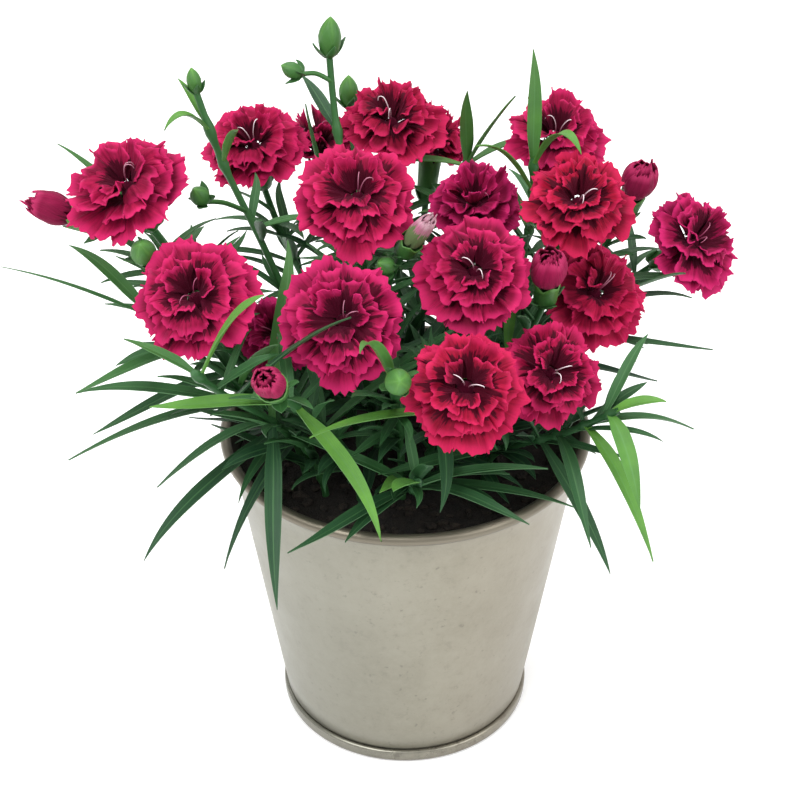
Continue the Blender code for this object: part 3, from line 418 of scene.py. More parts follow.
# Leaves placed as they grow on the plant: stem, place along it, tip, arch height, width
KEY_LEAVES = (
    ("leafy_shoot_01", 0.97, (44, 42, 253), 3, 5.6),
    ("leafy_shoot_01", 0.97, (60, 16, 226), 22, 4.6),
    ("leafy_shoot_01", 0.88, (24, 22, 226), 14, 4.4),
    ("leafy_shoot_02", 0.95, (22, 51, 233), 1, 5.0),
    ("leafy_shoot_02", 0.95, (39, 51, 231), 4, 4.2),
    ("bloom_stem_01", 0.70, (-120, 24, 226), 8, 4.6),
    ("bud_stem_03", 0.90, (-79, 40, 243), 1, 3.4),
    ("bud_stem_03", 0.88, (-82, 18, 234), 14, 3.6),
    ("bud_stem_03", 0.80, (-57, 18, 234), 8, 3.6),
    ("bud_stem_01", 0.80, (-38, 73, 229), 1, 5.2),
    ("bloom_stem_16", 0.75, (-49, 76, 232), 1, 4.4),
    ("leafy_shoot_03", 0.95, (-137, -10, 197), 4, 2.2),
    ("leafy_shoot_03", 0.95, (-114, -6, 203), 5, 4.8),
    ("leafy_shoot_03", 0.75, (-98, -30, 170), 6, 4.6),
    ("leafy_shoot_04", 0.97, (-92, -50, 193), 3, 4.6),
    ("leafy_shoot_04", 0.97, (-44, -64, 219), 14, 5.0),
    ("bud_stem_07", 0.72, (-81, -64, 184), 6, 5.8),
    ("bud_stem_07", 0.72, (-8, -86, 139), 12, 5.8),
    ("bloom_stem_14", 0.80, (-33, -80, 178), 6, 5.6),
    ("bloom_stem_14", 0.60, (11, -82, 148), 6, 5.0),
    ("bud_stem_06", 0.78, (-14, -86, 212), 22, 4.6),
    ("leafy_shoot_06", 0.97, (-4, -84, 158), 3, 6.2),
    ("leafy_shoot_06", 0.75, (9, -84, 163), 6, 5.6),
    ("leafy_shoot_06", 0.60, (40, -82, 143), 10, 5.0),
    ("leafy_shoot_05", 0.97, (77, -72, 141), 10, 6.0),
    ("leafy_shoot_05", 0.97, (87, -44, 165), 4, 5.4),
    ("leafy_shoot_05", 0.80, (82, -78, 124), 12, 5.4),
    ("leafy_shoot_05", 0.80, (100, -29, 143), 7, 4.6),
    ("leafy_shoot_05", 0.60, (61, -78, 130), 12, 5.0),
    ("bloom_stem_10", 0.60, (97, -7, 174), 6, 4.6),
    ("bloom_stem_07", 0.60, (93, -6, 186), 6, 4.4),
    ("bloom_stem_11", 0.35, (-117, -35, 134), 14, 5.6),
    ("bloom_stem_11", 0.55, (-106, -42, 150), 9, 5.0),
    ("bloom_stem_13", 0.35, (-68, -64, 111), 16, 5.6),
    ("leafy_shoot_04", 0.50, (-85, -48, 132), 10, 4.8),
    ("bloom_stem_13", 0.50, (-56, -62, 136), 8, 4.8),
    ("bud_stem_10", 0.60, (36, 0, 196), 3, 4.0),
)


def unit(v):
    """Unit vector along v"""
    v = np.array(v, float)
    return v / np.linalg.norm(v)


def frame_of(n):
    """Two directions across n, the first one as level as it can be"""
    n = unit(n)
    ref = np.array((0.0, 0.0, 1.0)) if abs(n[2]) < 0.95 else np.array((0.0, -1.0, 0.0))
    side = unit(np.cross(ref, n))
    return side, np.cross(n, side)


def curve(p0, p1, p2, p3, t):
    """Point on the cubic curve with these four control points"""
    s = 1.0 - t
    return s ** 3 * p0 + 3 * s * s * t * p1 + 3 * s * t * t * p2 + t ** 3 * p3


class Crowd:
    """Everything that already stands in the plant, kept as round-ended rods"""

    def __init__(self):
        self.a = np.zeros((0, 3))
        self.b = np.zeros((0, 3))
        self.r = np.zeros(0)
        self.owner = np.zeros(0, int)
        self.far = np.zeros(0, bool)

    def add(self, points, radius, owner, far):
        """Add one chain of rods"""
        points = np.array(points, float)
        count = len(points) - 1
        self.a = np.vstack((self.a, points[:-1]))
        self.b = np.vstack((self.b, points[1:]))
        self.r = np.append(self.r, np.full(count, radius))
        self.owner = np.append(self.owner, np.full(count, owner))
        self.far = np.append(self.far, np.full(count, far))

    def clear(self, points, radius, mask):
        """True where the points stay clear of the rods picked by mask"""
        low = points.min(axis=0) - 12.0
        high = points.max(axis=0) + 12.0
        near = np.all(np.maximum(self.a, self.b) > low, axis=1)
        near &= np.all(np.minimum(self.a, self.b) < high, axis=1)
        near &= mask
        if not near.any():
            return True
        a, b, r = self.a[near], self.b[near], self.r[near]
        ab = b - a
        length = np.maximum((ab * ab).sum(axis=1), 1e-9)
        ap = points[:, None, :] - a[None, :, :]
        t = np.clip((ap * ab[None, :, :]).sum(axis=2) / length, 0.0, 1.0)
        gap = np.linalg.norm(ap - t[:, :, None] * ab[None, :, :], axis=2)
        return not (gap < radius + r[None, :]).any()


def pot_hit(points):
    """True where a point is in the pot's wall or in the soil"""
    rad = np.hypot(points[:, 0], points[:, 1])
    z = points[:, 2]
    inner = SOIL_EDGE - 1.6 + (z - SOIL_TOP_Z) * 0.15
    outer = RIM_RADIUS + 1.8
    wall = (z < POT_HEIGHT + 2.0) & (rad > inner) & (rad < outer)
    soil = (z < SOIL_TOP_Z + 1.6) & (rad <= inner)
    return bool((wall | soil).any())


def disc_hit(points, radius, skip):
    """True where a point is too close to a bloom other than skip"""
    for name, centre, facing, size in BLOOMS:
        if name == skip:
            continue
        n = unit(facing)
        rel = points - np.array(centre, float)
        up = rel @ n
        out = np.linalg.norm(rel - up[:, None] * n, axis=1)
        high = np.where(out < 0.62 * size, 11.5, np.where(out < 0.92 * size, 7.0, 3.6))
        disc = (up > -3.6 - radius) & (up < high + radius) & (out < size + 1.2 + radius)
        if disc.any():
            return True
    return False


def spread(chain, step):
    """Points about one step apart along a chain of points"""
    out = []
    for a, b in zip(chain[:-1], chain[1:]):
        count = max(1, int(np.linalg.norm(b - a) / step))
        for k in range(count):
            out.append(a + (b - a) * k / count)
    out.append(chain[-1])
    return np.array(out)


def stem_path(root, end, way, pull, lean, sway):
    """Middle line of a stem from the soil to its end"""
    p0 = np.array((root[0], root[1], SOIL_TOP_Z + 2.5))
    p3 = np.array(end, float)
    rise = max(12.0, 0.35 * (p3[2] - SOIL_TOP_Z))
    p1 = p0 + np.array((lean[0], lean[1], rise))
    p2 = p3 - unit(unit(way) + np.array(sway)) * pull
    steps = [(k + 1) / (STEM_STATIONS + 1) for k in range(STEM_STATIONS)]
    chain = [np.array((root[0], root[1], ROOT_Z)), p0]
    chain += [curve(p0, p1, p2, p3, t) for t in steps]
    chain.append(p3)
    return chain


def place_stem(crowd, roots, owner, end, way, skip, head):
    """Pick the first root and bend that keep a stem clear of what stands already"""
    rng = random.Random(100 + owner)
    goal = np.array((end[0], end[1])) * ROOT_SPREAD
    lift = np.array(end, float)
    everyone = np.ones(len(crowd.r), bool)
    for attempt in range(1500):
        reach = 2.0 + attempt * 0.02
        turn = rng.uniform(0, 2 * math.pi)
        x = goal[0] + reach * math.cos(turn) * rng.random()
        y = goal[1] + reach * math.sin(turn) * rng.random()
        pull = rng.uniform(12.0, 38.0)
        loose = min(1.0, attempt / 300.0)
        lean = (rng.uniform(-9.0, 9.0) * loose, rng.uniform(-9.0, 9.0) * loose)
        sway = [rng.uniform(-0.55, 0.55) * loose for k in range(3)]
        if math.hypot(x, y) > ROOT_LIMIT:
            continue
        if any(math.hypot(x - a, y - b) < ROOT_SPACING for a, b in roots):
            continue
        chain = stem_path((x, y), lift, way, pull, lean, sway)
        points = spread(chain[1:], 3.0)
        low = points[:, 2] > SOIL_TOP_Z + 3.0
        if not crowd.clear(points, STEM_RADIUS + 0.9, everyone):
            continue
        if disc_hit(points, STEM_RADIUS, skip):
            continue
        if pot_hit(points[low]):
            continue
        if head is not None and not crowd.clear(head, 0.8, everyone):
            continue
        roots.append((x, y))
        return chain
    raise RuntimeError("no clear way for stem %d" % owner)


def leaf_lines(start, tip, arch, width, stations=LEAF_STATIONS):
    """The left, middle and right lines of one leaf"""
    out = tip - start
    flat = np.array((out[0], out[1], 0.0))
    flat = flat / max(np.linalg.norm(flat), 1e-6)
    bend = (start + tip) / 2 + np.array((0.0, 0.0, arch)) + flat * 0.12 * arch
    mids, sides = [], []
    for t in stations + (1.0,):
        p = (1 - t) ** 2 * start + 2 * t * (1 - t) * bend + t * t * tip
        along = unit(2 * (1 - t) * (bend - start) + 2 * t * (tip - bend))
        mids.append(p)
        sides.append(unit(np.cross(along, np.array((0.0, 0.0, 0.8)) - 0.6 * flat)))
    half = [w * width / 2 for w in LEAF_WIDTHS[:len(stations)]] + [0.0]
    if stations == SKIRT_STATIONS:
        half[0] *= SKIRT_FOOT
    left = [m - s * h for m, s, h in zip(mids, sides, half)]
    right = [m + s * h for m, s, h in zip(mids, sides, half)]
    return left, mids, right


def leaf_clear(crowd, owner, lines):
    """True where a leaf crosses nothing that stands already"""
    left, mids, right = lines
    whole = np.vstack([spread(line[1:], 2.5) for line in lines])
    for line, skip in ((left, 3), (mids, 1), (right, 3)):
        whole = np.vstack((whole, spread(line[:2], 2.0)[skip:]))
    far = np.vstack([spread(line[2:], 2.5) for line in lines])
    others = crowd.owner != owner
    own = (crowd.owner == owner) & crowd.far
    if pot_hit(whole) or disc_hit(whole, 0.5, ""):
        return False
    return crowd.clear(whole, 1.5, others) and crowd.clear(far, 1.2, own)


def add_leaf(crowd, owner, lines):
    """Let a placed leaf stand in the crowd"""
    for line in lines:
        crowd.add(line[1:], 1.0, owner, True)
        crowd.add([(line[0] + line[1]) / 2, line[1]], 1.0, owner, False)
    crowd.add(lines[1][:2], 1.2, owner, False)


def on_stem(chain, where):
    """Point and direction at a share of the way up a stem above the soil"""
    line = chain[1:]
    spans = [np.linalg.norm(b - a) for a, b in zip(line[:-1], line[1:])]
    left = where * sum(spans)
    for a, b, span in zip(line[:-1], line[1:], spans):
        if left <= span:
            return a + (b - a) * left / span, unit(b - a)
        left -= span
    return line[-1], unit(line[-1] - line[-2])


def free_leaf(crowd, owner, chain, where, turn, size, rng):
    """One leaf of a pair, bent or shortened until it is clear, or None"""
    start, along = on_stem(chain, where)
    side, front = frame_of(along)
    for attempt in range(26):
        swing = turn + rng.uniform(-0.12, 0.12) * (1 + attempt * 0.25)
        out = side * math.cos(swing) + front * math.sin(swing)
        rise = rng.uniform(-0.1, 0.9)
        length = size * rng.uniform(0.8, 1.1) * (1.0 - 0.018 * attempt)
        way = unit(out + np.array((0.0, 0.0, rise)))
        tip = start + way * length
        arch = length * rng.uniform(0.05, 0.2)
        lines = leaf_lines(start, tip, arch, min(5.8, 2.6 + length * 0.05))
        if leaf_clear(crowd, owner, lines):
            return lines
    return None


def lay_out():
    """Stems first, then the listed leaves, then pairs by rule"""
    crowd = Crowd()
    roots = []
    stems = {}
    owner = 0
    for name, centre, facing, size in BLOOMS:
        owner += 1
        n = unit(facing)
        base = np.array(centre, float) - n * CALYX_FOOT
        calyx = [base, np.array(centre, float) - n * CALYX_TOP]
        chain = place_stem(crowd, roots, owner, base, facing, name, spread(calyx, 4.0))
        crowd.add(chain, STEM_RADIUS, owner, False)
        crowd.add(calyx, CALYX_RADIUS + 0.4, owner, False)
        stems["bloom_stem" + name[5:]] = [owner, chain, []]
    for name, end, way, radius, length, petals in BUD_STEMS:
        owner += 1
        top = np.array(end, float) + unit(way) * (length + petals * 1.5)
        head = spread([np.array(end, float), top], 3.0)
        chain = place_stem(crowd, roots, owner, end, way, "", head)
        crowd.add(chain, STEM_RADIUS, owner, False)
        crowd.add([np.array(end, float), top], max(radius, petals) + 0.6, owner, petals > 0)
        stems[name] = [owner, chain, []]
    for name, end, way in SHOOTS:
        owner += 1
        chain = place_stem(crowd, roots, owner, end, way, "", None)
        crowd.add(chain, STEM_RADIUS, owner, False)
        stems[name] = [owner, chain, []]
    for name, where, end, way, radius, length in SIDE_BUDS:
        start, along = on_stem(stems[name][1], where)
        top = np.array(end, float) + unit(way) * length
        crowd.add([start, np.array(end, float)], STEM_RADIUS, stems[name][0], False)
        crowd.add([np.array(end, float), top], radius + 0.6, stems[name][0], False)
    key_leaves(crowd, stems)
    rule_leaves(crowd, stems)
    skirt_leaves(crowd, stems)
    return crowd, stems


def key_leaves(crowd, stems):
    """The listed leaves, each lifted a little where it would touch"""
    for name, where, tip, arch, width in KEY_LEAVES:
        owner, chain, leaves = stems[name]
        rng = random.Random(owner * 31 + int(where * 100))
        for attempt in range(160):
            spread_by = 0.12 * attempt
            shift = np.array([rng.uniform(-spread_by, spread_by) for k in range(3)])
            spot = min(0.985, max(0.05, where + rng.uniform(-0.0012, 0.0012) * attempt))
            start, along = on_stem(chain, spot)
            lines = leaf_lines(start, np.array(tip, float) + shift,
                               arch + rng.uniform(-0.06, 0.1) * attempt, width)
            if leaf_clear(crowd, owner, lines):
                leaves.append(lines)
                add_leaf(crowd, owner, lines)
                break


def rule_leaves(crowd, stems):
    """Opposite pairs up each stem, every pair turned a quarter from the one below"""
    plans = {"bloom": ((0.2, 66.0), (0.45, 54.0), (0.75, 34.0)),
             "bud": ((0.4, 50.0), (0.7, 36.0)),
             "leafy": ((0.25, 72.0), (0.5, 66.0), (0.75, 56.0), (0.95, 40.0))}
    for name, (owner, chain, leaves) in stems.items():
        rng = random.Random(owner * 7 + 3)
        turn = rng.uniform(0, math.pi)
        for where, size in plans[name.split("_")[0]]:
            turn += math.pi / 2
            for flip in (0.0, math.pi):
                if len(leaves) >= LEAF_LIMIT[name.split("_")[0]]:
                    continue
                lines = free_leaf(crowd, owner, chain, where, turn + flip, size, rng)
                if lines is not None:
                    leaves.append(lines)
                    add_leaf(crowd, owner, lines)


def skirt_leaves(crowd, stems):
    """Short leaves low on the stems, which hide the soil and spill over the rim, most in front"""
    rng = random.Random(SKIRT_SEED)
    names = sorted(stems)
    placed = 0
    for attempt in range(SKIRT_TRIES):
        owner, chain, leaves = stems[rng.choice(names)]
        start, along = on_stem(chain, rng.uniform(0.02, 0.42))
        turn = math.atan2(start[1], start[0]) + rng.uniform(-1.1, 1.1)
        length = rng.uniform(30.0, 54.0)
        way = unit((math.cos(turn), math.sin(turn), rng.uniform(-0.05, 0.8)))
        back = start[1] + way[1] * length > -12.0
        if placed == SKIRT_COUNT or (back and rng.random() > 0.1):
            continue
        width = rng.uniform(4.4, 6.0)
        lines = leaf_lines(start, start + way * length, length * 0.12, width, SKIRT_STATIONS)
        if leaf_clear(crowd, owner, lines):
            leaves.append(lines)
            add_leaf(crowd, owner, lines)
            placed += 1


crowd, stems = lay_out()


# Tufts. Low on the stems and along them stand short young leaves, which close the heart of
# the plant; they are too small to be solids of their own and are made only here.
TUFT_LEAVES = 420
TUFT_LOW_Z = 117.0
TUFT_TOP_Z = 196.0
TUFT_TRIES = 9000


def tuft_clear(crowd, lines):
    """True where a short leaf touches no more than its own stem"""
    body = np.vstack([spread(line[1:], 3.0) for line in lines])
    if pot_hit(body) or disc_hit(body, 0.3, ""):
        return False
    return crowd.clear(body, 0.35, crowd.r > 0.0)


rng = random.Random(77)
tufts = {name: [] for name in stems}
names = sorted(stems)
for attempt in range(TUFT_TRIES):
    name = rng.choice(names)
    owner, chain, leaves = stems[name]
    start, along = on_stem(chain, rng.uniform(0.02, 0.93))
    turn = rng.uniform(-math.pi, math.pi)
    if start[2] < 150.0 and rng.random() < 0.6:
        turn = math.atan2(start[1] - 12.0, start[0]) + rng.uniform(-0.9, 0.9)
    low = min(1.0, max(0.0, (200.0 - start[2]) / 85.0))
    length = rng.uniform(17.0, 25.0) + 24.0 * low * rng.random()
    way = unit((math.cos(turn), math.sin(turn), rng.uniform(0.0, 1.2)))
    full = sum(len(t) for t in tufts.values()) >= TUFT_LEAVES
    if full or not TUFT_LOW_Z < start[2] < TUFT_TOP_Z:
        continue
    lines = leaf_lines(start, start + way * length, length * 0.14, rng.uniform(2.8, 4.6))
    if tuft_clear(crowd, lines):
        crowd.add(lines[1][1:], 0.7, owner, True)
        tufts[name].append(lines)


# Leaves. Each is a narrow blade, thick as card and folded a little along its midrib, with a waxy
# face. It grows straight from the stem opposite its partner and tapers to a fine point.
BLADE_CELLS_ACROSS = 6
BLADE_CELLS_ALONG = 22
# Painted light and shade: tips of leaves painted bright as lit, and of leaves painted dark as
# shaded
LIT_TIPS = ((77, -72, 141), (87, -44, 165), (-81, -64, 184), (-8, -86, 139), (-33, -80, 178),
               (36, 0, 196), (4, -86, 212), (-44, -64, 219), (-4, -84, 158), (82, -78, 124))
SHADED_TIPS = ((-17, -61, 209), (-38, 73, 229))
# Greens from painted shade on low leaves, through the middle, to painted light on high ones
LOW_SHADED_GREEN = (0.008, 0.034, 0.018, 1.0)
MID_GREEN = (0.030, 0.112, 0.030, 1.0)
HIGH_LIT_GREEN = (0.105, 0.275, 0.036, 1.0)
CLOUD_GREEN = (0.022, 0.078, 0.028, 1.0)
STREAK_GREEN = (0.075, 0.19, 0.066, 1.0)
RIB_GREEN = (0.10, 0.24, 0.085, 1.0)
MARGIN_GREEN = (0.11, 0.26, 0.095, 1.0)


def finish_master(obj, thickness):
    """Give a master its thickness, then hand over its points and faces and clear it away"""
    only(obj)
    if thickness > 0.0:
        wall = obj.modifiers.new("thickness", "SOLIDIFY")
        wall.thickness = thickness
        wall.offset = 0.0
        bpy.ops.object.modifier_apply(modifier=wall.name)
    points = np.array([v.co[:] for v in obj.data.vertices])
    faces = [tuple(p.vertices) for p in obj.data.polygons]
    bpy.data.objects.remove(obj, do_unlink=True)
    return points, faces


def sheet_master(name, cells_across, cells_along):
    """A flat sheet from side to side and from its foot to its far edge"""
    bpy.ops.object.select_all(action="DESELECT")
    bpy.ops.mesh.primitive_grid_add(x_subdivisions=cells_across, y_subdivisions=cells_along,
                                    size=2.0)
    obj = bpy.context.object
    obj.name = name
    bpy.ops.object.mode_set(mode="EDIT")
    bpy.ops.mesh.select_all(action="SELECT")
    bpy.ops.transform.resize(value=(1.0, 0.5, 1.0))
    bpy.ops.transform.translate(value=(0.0, 0.5, 0.0))
    bpy.ops.object.mode_set(mode="OBJECT")
    return obj


def mark(tree, name):
    """What a piece's points carry under this name"""
    return put(tree, "ShaderNodeAttribute", {"attribute_name": name}).outputs["Fac"]


def stretched(tree, vector, scale):
    """Places drawn out by a scale along each of their three ways"""
    return put(tree, "ShaderNodeMapping", None, {"Vector": vector, "Scale": scale}).outputs[0]


leaf_blade = finish_master(sheet_master("leaf_blade", BLADE_CELLS_ACROSS, BLADE_CELLS_ALONG), 2.0)
tuft_blade = finish_master(sheet_master("tuft_blade", 4, 11), 2.0)


def rows_unit(v):
    """Each row as a unit vector"""
    return v / np.maximum(np.linalg.norm(v, axis=1, keepdims=True), 1e-9)


def blade(start, bend, tip, width, twist, tone, fold=0.34, master=leaf_blade, bow=0.0):
    """One leaf laid along its curve: points, faces and what its finish needs"""
    points, faces = master
    s, t, face = points[:, 0:1], points[:, 1:2], points[:, 2:3]
    middle = (1 - t) ** 2 * start + 2 * t * (1 - t) * bend + t * t * tip
    along = rows_unit(2 * (1 - t) * (bend - start) + 2 * t * (tip - bend) + 1e-6)
    out = tip - start
    flat = np.array((out[0], out[1], 0.0))
    flat = flat / max(np.linalg.norm(flat), 1e-6)
    side = rows_unit(np.cross(along, np.array((0.0, 0.0, 0.8)) - 0.6 * flat))
    up = np.cross(side, along)
    middle = middle + side * (bow * np.linalg.norm(out) * 4.0 * t * (1 - t) * (2 * t - 0.6))
    turn = twist * t ** 1.5
    side, up = np.cos(turn) * side + np.sin(turn) * up, np.cos(turn) * up - np.sin(turn) * side
    swell = np.clip(t / 0.34, 0.0, 1.0)
    taper = np.clip((t - 0.5) / 0.5, 0.0, 1.0)
    half = width / 2 * (0.42 + 0.58 * swell * swell * (3 - 2 * swell)) * (1 - 0.97 * taper ** 1.7)
    trough = fold * half * np.abs(s) ** 1.3 * (1 - 0.35 * t)
    thick = (0.42 - 0.20 * np.abs(s)) * (1 - 0.6 * t)
    thick = thick + np.where(face < 0, 0.22 * (1 - np.abs(s)) ** 2, 0.0)
    lift = trough + face * thick * np.minimum(1.0, width / 4.0)
    points = middle + side * (s * half) + up * lift
    marks = {"tone": np.full(len(points), tone), "across": s[:, 0], "along": t[:, 0]}
    return points, faces, marks


def leaf_tone(tip, middle, rng):
    """Painted shade and light: low leaves under the blooms are painted a dark blue green and high
    ones a fresh yellow green; the listed lit leaves are painted bright, and the listed shaded ones
    dark
    """
    tone = 0.12 + 0.72 * min(1.0, max(0.0, (middle[2] - 135.0) / 85.0)) + rng.uniform(-0.14, 0.14)
    if min(math.dist(tip, bright) for bright in LIT_TIPS) < 9.0:
        tone = rng.uniform(0.8, 1.0)
    if min(math.dist(tip, shaded) for shaded in SHADED_TIPS) < 5.0:
        tone = 0.15
    return min(1.0, max(0.02, tone))


def green_material(name):
    """Waxy green with paler midrib and margins and fine lengthwise streaks"""
    mat, tree, out = fresh_material(name)
    tone, across, along = mark(tree, "tone"), mark(tree, "across"), mark(tree, "along")
    where = put(tree, "ShaderNodeTexCoord").outputs["Object"]
    lie = put(tree, "ShaderNodeCombineXYZ", None, {"X": across, "Y": along, "Z": tone}).outputs[0]
    streak = noise(tree, stretched(tree, lie, (9.0, 1.2, 5.0)), 2.0, 3.0)
    width = put(tree, "ShaderNodeMath", {"operation": "ABSOLUTE"}, {0: across}).outputs[0]
    # Painted shade and light: low tones are darkest, high tones palest
    colour = mix(tree, ranged(tree, tone, 0.0, 0.5), LOW_SHADED_GREEN, MID_GREEN)
    colour = mix(tree, ranged(tree, tone, 0.45, 1.0), colour, HIGH_LIT_GREEN)
    colour = mix(tree, clouding(tree, where, 130.0, 0.0, 0.35), colour, CLOUD_GREEN)
    colour = mix(tree, ranged(tree, streak, 0.45, 0.75, 0.0, 0.28), colour, STREAK_GREEN)
    colour = mix(tree, ranged(tree, width, 0.0, 0.16, 0.35, 0.0), colour, RIB_GREEN)
    colour = mix(tree, ranged(tree, width, 0.86, 1.0, 0.0, 0.22), colour, MARGIN_GREEN)
    coat(tree, out, {"Base Color": colour, "Roughness": clouding(tree, where, 60.0, 0.36, 0.52),
                     "Specular IOR Level": 0.28, "Normal": bumped(tree, streak, 0.35, 0.0004)})
    return mat


green = green_material("waxy_green")


# Stems. Each is a slim round stalk, swollen into a knuckle where a pair of leaves grows, and
# paler than the leaves. It is rooted a finger-nail deep in the soil.
STALK_RINGS = 64
STALK_SIDES = 9
SMOOTH_UNDER = math.radians(62.0)
# Shares of a leaf's foot, bend and tip in the second point of its middle line
SECOND_POINT = (0.49, 0.42, 0.09)


def rod_master(name, sides, rings):
    """A round rod raised ring by ring from a circle, closed at both ends"""
    bpy.ops.object.select_all(action="DESELECT")
    bpy.ops.mesh.primitive_circle_add(vertices=sides, radius=1.0, fill_type="NGON")
    obj = bpy.context.object
    obj.name = name
    bpy.ops.object.mode_set(mode="EDIT")
    bpy.ops.mesh.select_all(action="SELECT")
    for k in range(rings - 1):
        bpy.ops.mesh.extrude_region_move(TRANSFORM_OT_translate={"value": (0.0, 0.0, 1.0)})
    bpy.ops.mesh.select_all(action="SELECT")
    bpy.ops.mesh.normals_make_consistent(inside=False)
    bpy.ops.object.mode_set(mode="OBJECT")
    return finish_master(obj, 0.0)


stalk = rod_master("stalk_rod", STALK_SIDES, STALK_RINGS)


def smooth_line(points, count):
    """Evenly spaced points on a smooth curve through the given ones"""
    p = np.array(points, float)
    p = np.vstack((2 * p[0] - p[1], p, 2 * p[-1] - p[-2]))
    fine = []
    for a, b, c, d in zip(p[:-3], p[1:-2], p[2:-1], p[3:]):
        for k in range(24):
            t = k / 24.0
            fine.append(0.5 * (2 * b + (c - a) * t + (2 * a - 5 * b + 4 * c - d) * t * t
                               + (3 * b - a - 3 * c + d) * t ** 3))
    fine = np.array(fine + [p[-2]])
    run = np.append(0.0, np.cumsum(np.linalg.norm(np.diff(fine, axis=0), axis=1)))
    at = np.linspace(0.0, run[-1], count)
    return np.stack([np.interp(at, run, fine[:, k]) for k in range(3)], axis=1)


def rod_along(points, faces, line, radii, tone):
    """A rod master bent along a line, with a radius at each ring"""
    ahead = rows_unit(np.gradient(line, axis=0))
    side = np.zeros_like(ahead)
    side[0] = frame_of(ahead[0])[0]
    for k in range(1, len(line)):
        kept = side[k - 1] - ahead[k] * side[k - 1].dot(ahead[k])
        side[k] = kept / np.linalg.norm(kept)
    cross = np.cross(ahead, side)
    ring = np.rint(points[:, 2]).astype(int)
    around = side[ring] * points[:, 0:1] + cross[ring] * points[:, 1:2]
    laid = line[ring] + around * radii[ring][:, None]
    marks = {"tone": np.full(len(laid), tone), "across": np.full(len(laid), 0.5),
             "along": ring / (len(line) - 1.0)}
    return laid, faces, marks


# Calyx and buds. Under every bloom the petals stand in a green tube with five teeth and two pairs
# of small scales at its foot; a closed bud is the same tube drawn to a pale-seamed point.
CUP_SIDES = 20
CUP_PROFILE = ((0.0, 0.36), (0.03, 0.62), (0.10, 0.82), (0.3, 0.88), (0.6, 0.94), (0.82, 1.0),
               (0.95, 1.02))
BUD_PROFILE = ((0.0, 0.34), (0.04, 0.60), (0.14, 0.82), (0.32, 0.96), (0.50, 1.0), (0.66, 0.87),
               (0.79, 0.65), (0.89, 0.40), (0.96, 0.18), (1.0, 0.05))


def raised_master(name, profile, teeth):
    """A round form raised through a profile of height and radius, toothed at the top or closed"""
    bpy.ops.object.select_all(action="DESELECT")
    bpy.ops.mesh.primitive_circle_add(vertices=CUP_SIDES, radius=profile[0][1], fill_type="NGON")
    obj = bpy.context.object
    obj.name = name
    bpy.ops.object.mode_set(mode="EDIT")
    bpy.ops.mesh.select_all(action="SELECT")
    for (low, thin), (high, wide) in zip(profile[:-1], profile[1:]):
        bpy.ops.mesh.extrude_region_move(TRANSFORM_OT_translate={"value": (0.0, 0.0, high - low)})
        bpy.ops.transform.resize(value=(wide / thin, wide / thin, 1.0),
                                 center_override=(0.0, 0.0, high))
    if teeth:
        bpy.ops.mesh.delete(type="ONLY_FACE")
    bpy.ops.mesh.select_all(action="SELECT")
    bpy.ops.mesh.normals_make_consistent(inside=False)
    bpy.ops.mesh.select_all(action="DESELECT")
    bpy.ops.object.mode_set(mode="OBJECT")
    top = profile[-1][0]
    for v in obj.data.vertices:
        step = round(math.atan2(v.co.y, v.co.x) / (2 * math.pi) * CUP_SIDES) % 4
        if teeth and v.co.z > top - 0.01:
            v.co.z += (0.14, 0.03, -0.08, 0.03)[step]
        elif v.co.z > 0.45:
            pinch = 1.0 - (0.0, 0.02, 0.16, 0.02)[step] * min(1.0, (v.co.z - 0.45) * 2.2)
            v.co.x *= pinch
            v.co.y *= pinch
    return finish_master(obj, 0.08 if teeth else 0.0)


cup = raised_master("calyx_tube", CUP_PROFILE, True)
bud = raised_master("closed_bud", BUD_PROFILE, False)


def stood(points, faces, foot, way, radius, length, tone):
    """A raised master stood on a point, leaning the given way"""
    n = unit(way)
    side, front = frame_of(n)
    laid = foot + side * points[:, 0:1] * radius + front * points[:, 1:2] * radius
    laid = laid + n * points[:, 2:3] * length
    around = np.arctan2(points[:, 1], points[:, 0])
    high = np.clip(points[:, 2], 0.0, 1.0)
    seam = (0.5 - 0.5 * np.cos(5.0 * around)) ** 3 * np.clip((high - 0.35) * 2.0, 0.0, 1.0)
    point = np.clip((high - 0.86) / 0.14, 0.0, 1.0)
    tone = tone + 0.15 * seam + 0.25 * point
    return laid, faces, {"tone": tone, "across": 0.5 - 0.5 * np.maximum(seam, point), "along": high}


def scales(foot, way, radius, length, tone, rng, flare=0.25):
    """Two pairs of small pointed scales held close round the foot of a calyx or bud"""
    n = unit(way)
    side, front = frame_of(n)
    parts = []
    for k in range(4):
        turn = math.pi / 2 * k + 0.4
        out = side * math.cos(turn) + front * math.sin(turn)
        reach = length * rng.uniform(0.85, 1.15)
        start = foot + out * radius * 0.3 - n * 0.6
        bend = foot + out * radius * 1.25 + n * reach * 0.25
        tip = foot + out * radius * (1.3 + flare * rng.random()) + n * reach
        parts.append(blade(start, bend, tip, radius * 1.25, 0.0, tone, 0.2))
    return parts


def join_parts(name, parts, material):
    """Make one mesh of many laid copies, each keeping its marks"""
    points = np.vstack([p for p, f, m in parts]) * MM
    faces = []
    first = 0
    for p, f, m in parts:
        faces += [tuple(first + i for i in face) for face in f]
        first += len(p)
    obj = set_out(name, points.tolist(), [], faces)
    for key in parts[0][2]:
        layer = obj.data.attributes.new(key, "FLOAT", "POINT")
        values = np.concatenate([m[key] for p, f, m in parts])
        layer.data.foreach_set("value", values.astype(np.float32))
    obj.data.materials.append(material)
    only(obj)
    bpy.ops.object.shade_smooth_by_angle(angle=SMOOTH_UNDER)
    return obj


def nearest_on(line, point):
    """The point of a line nearest to a given one, and its place in the line"""
    k = int(np.argmin(np.linalg.norm(line - point, axis=1)))
    return line[k], k


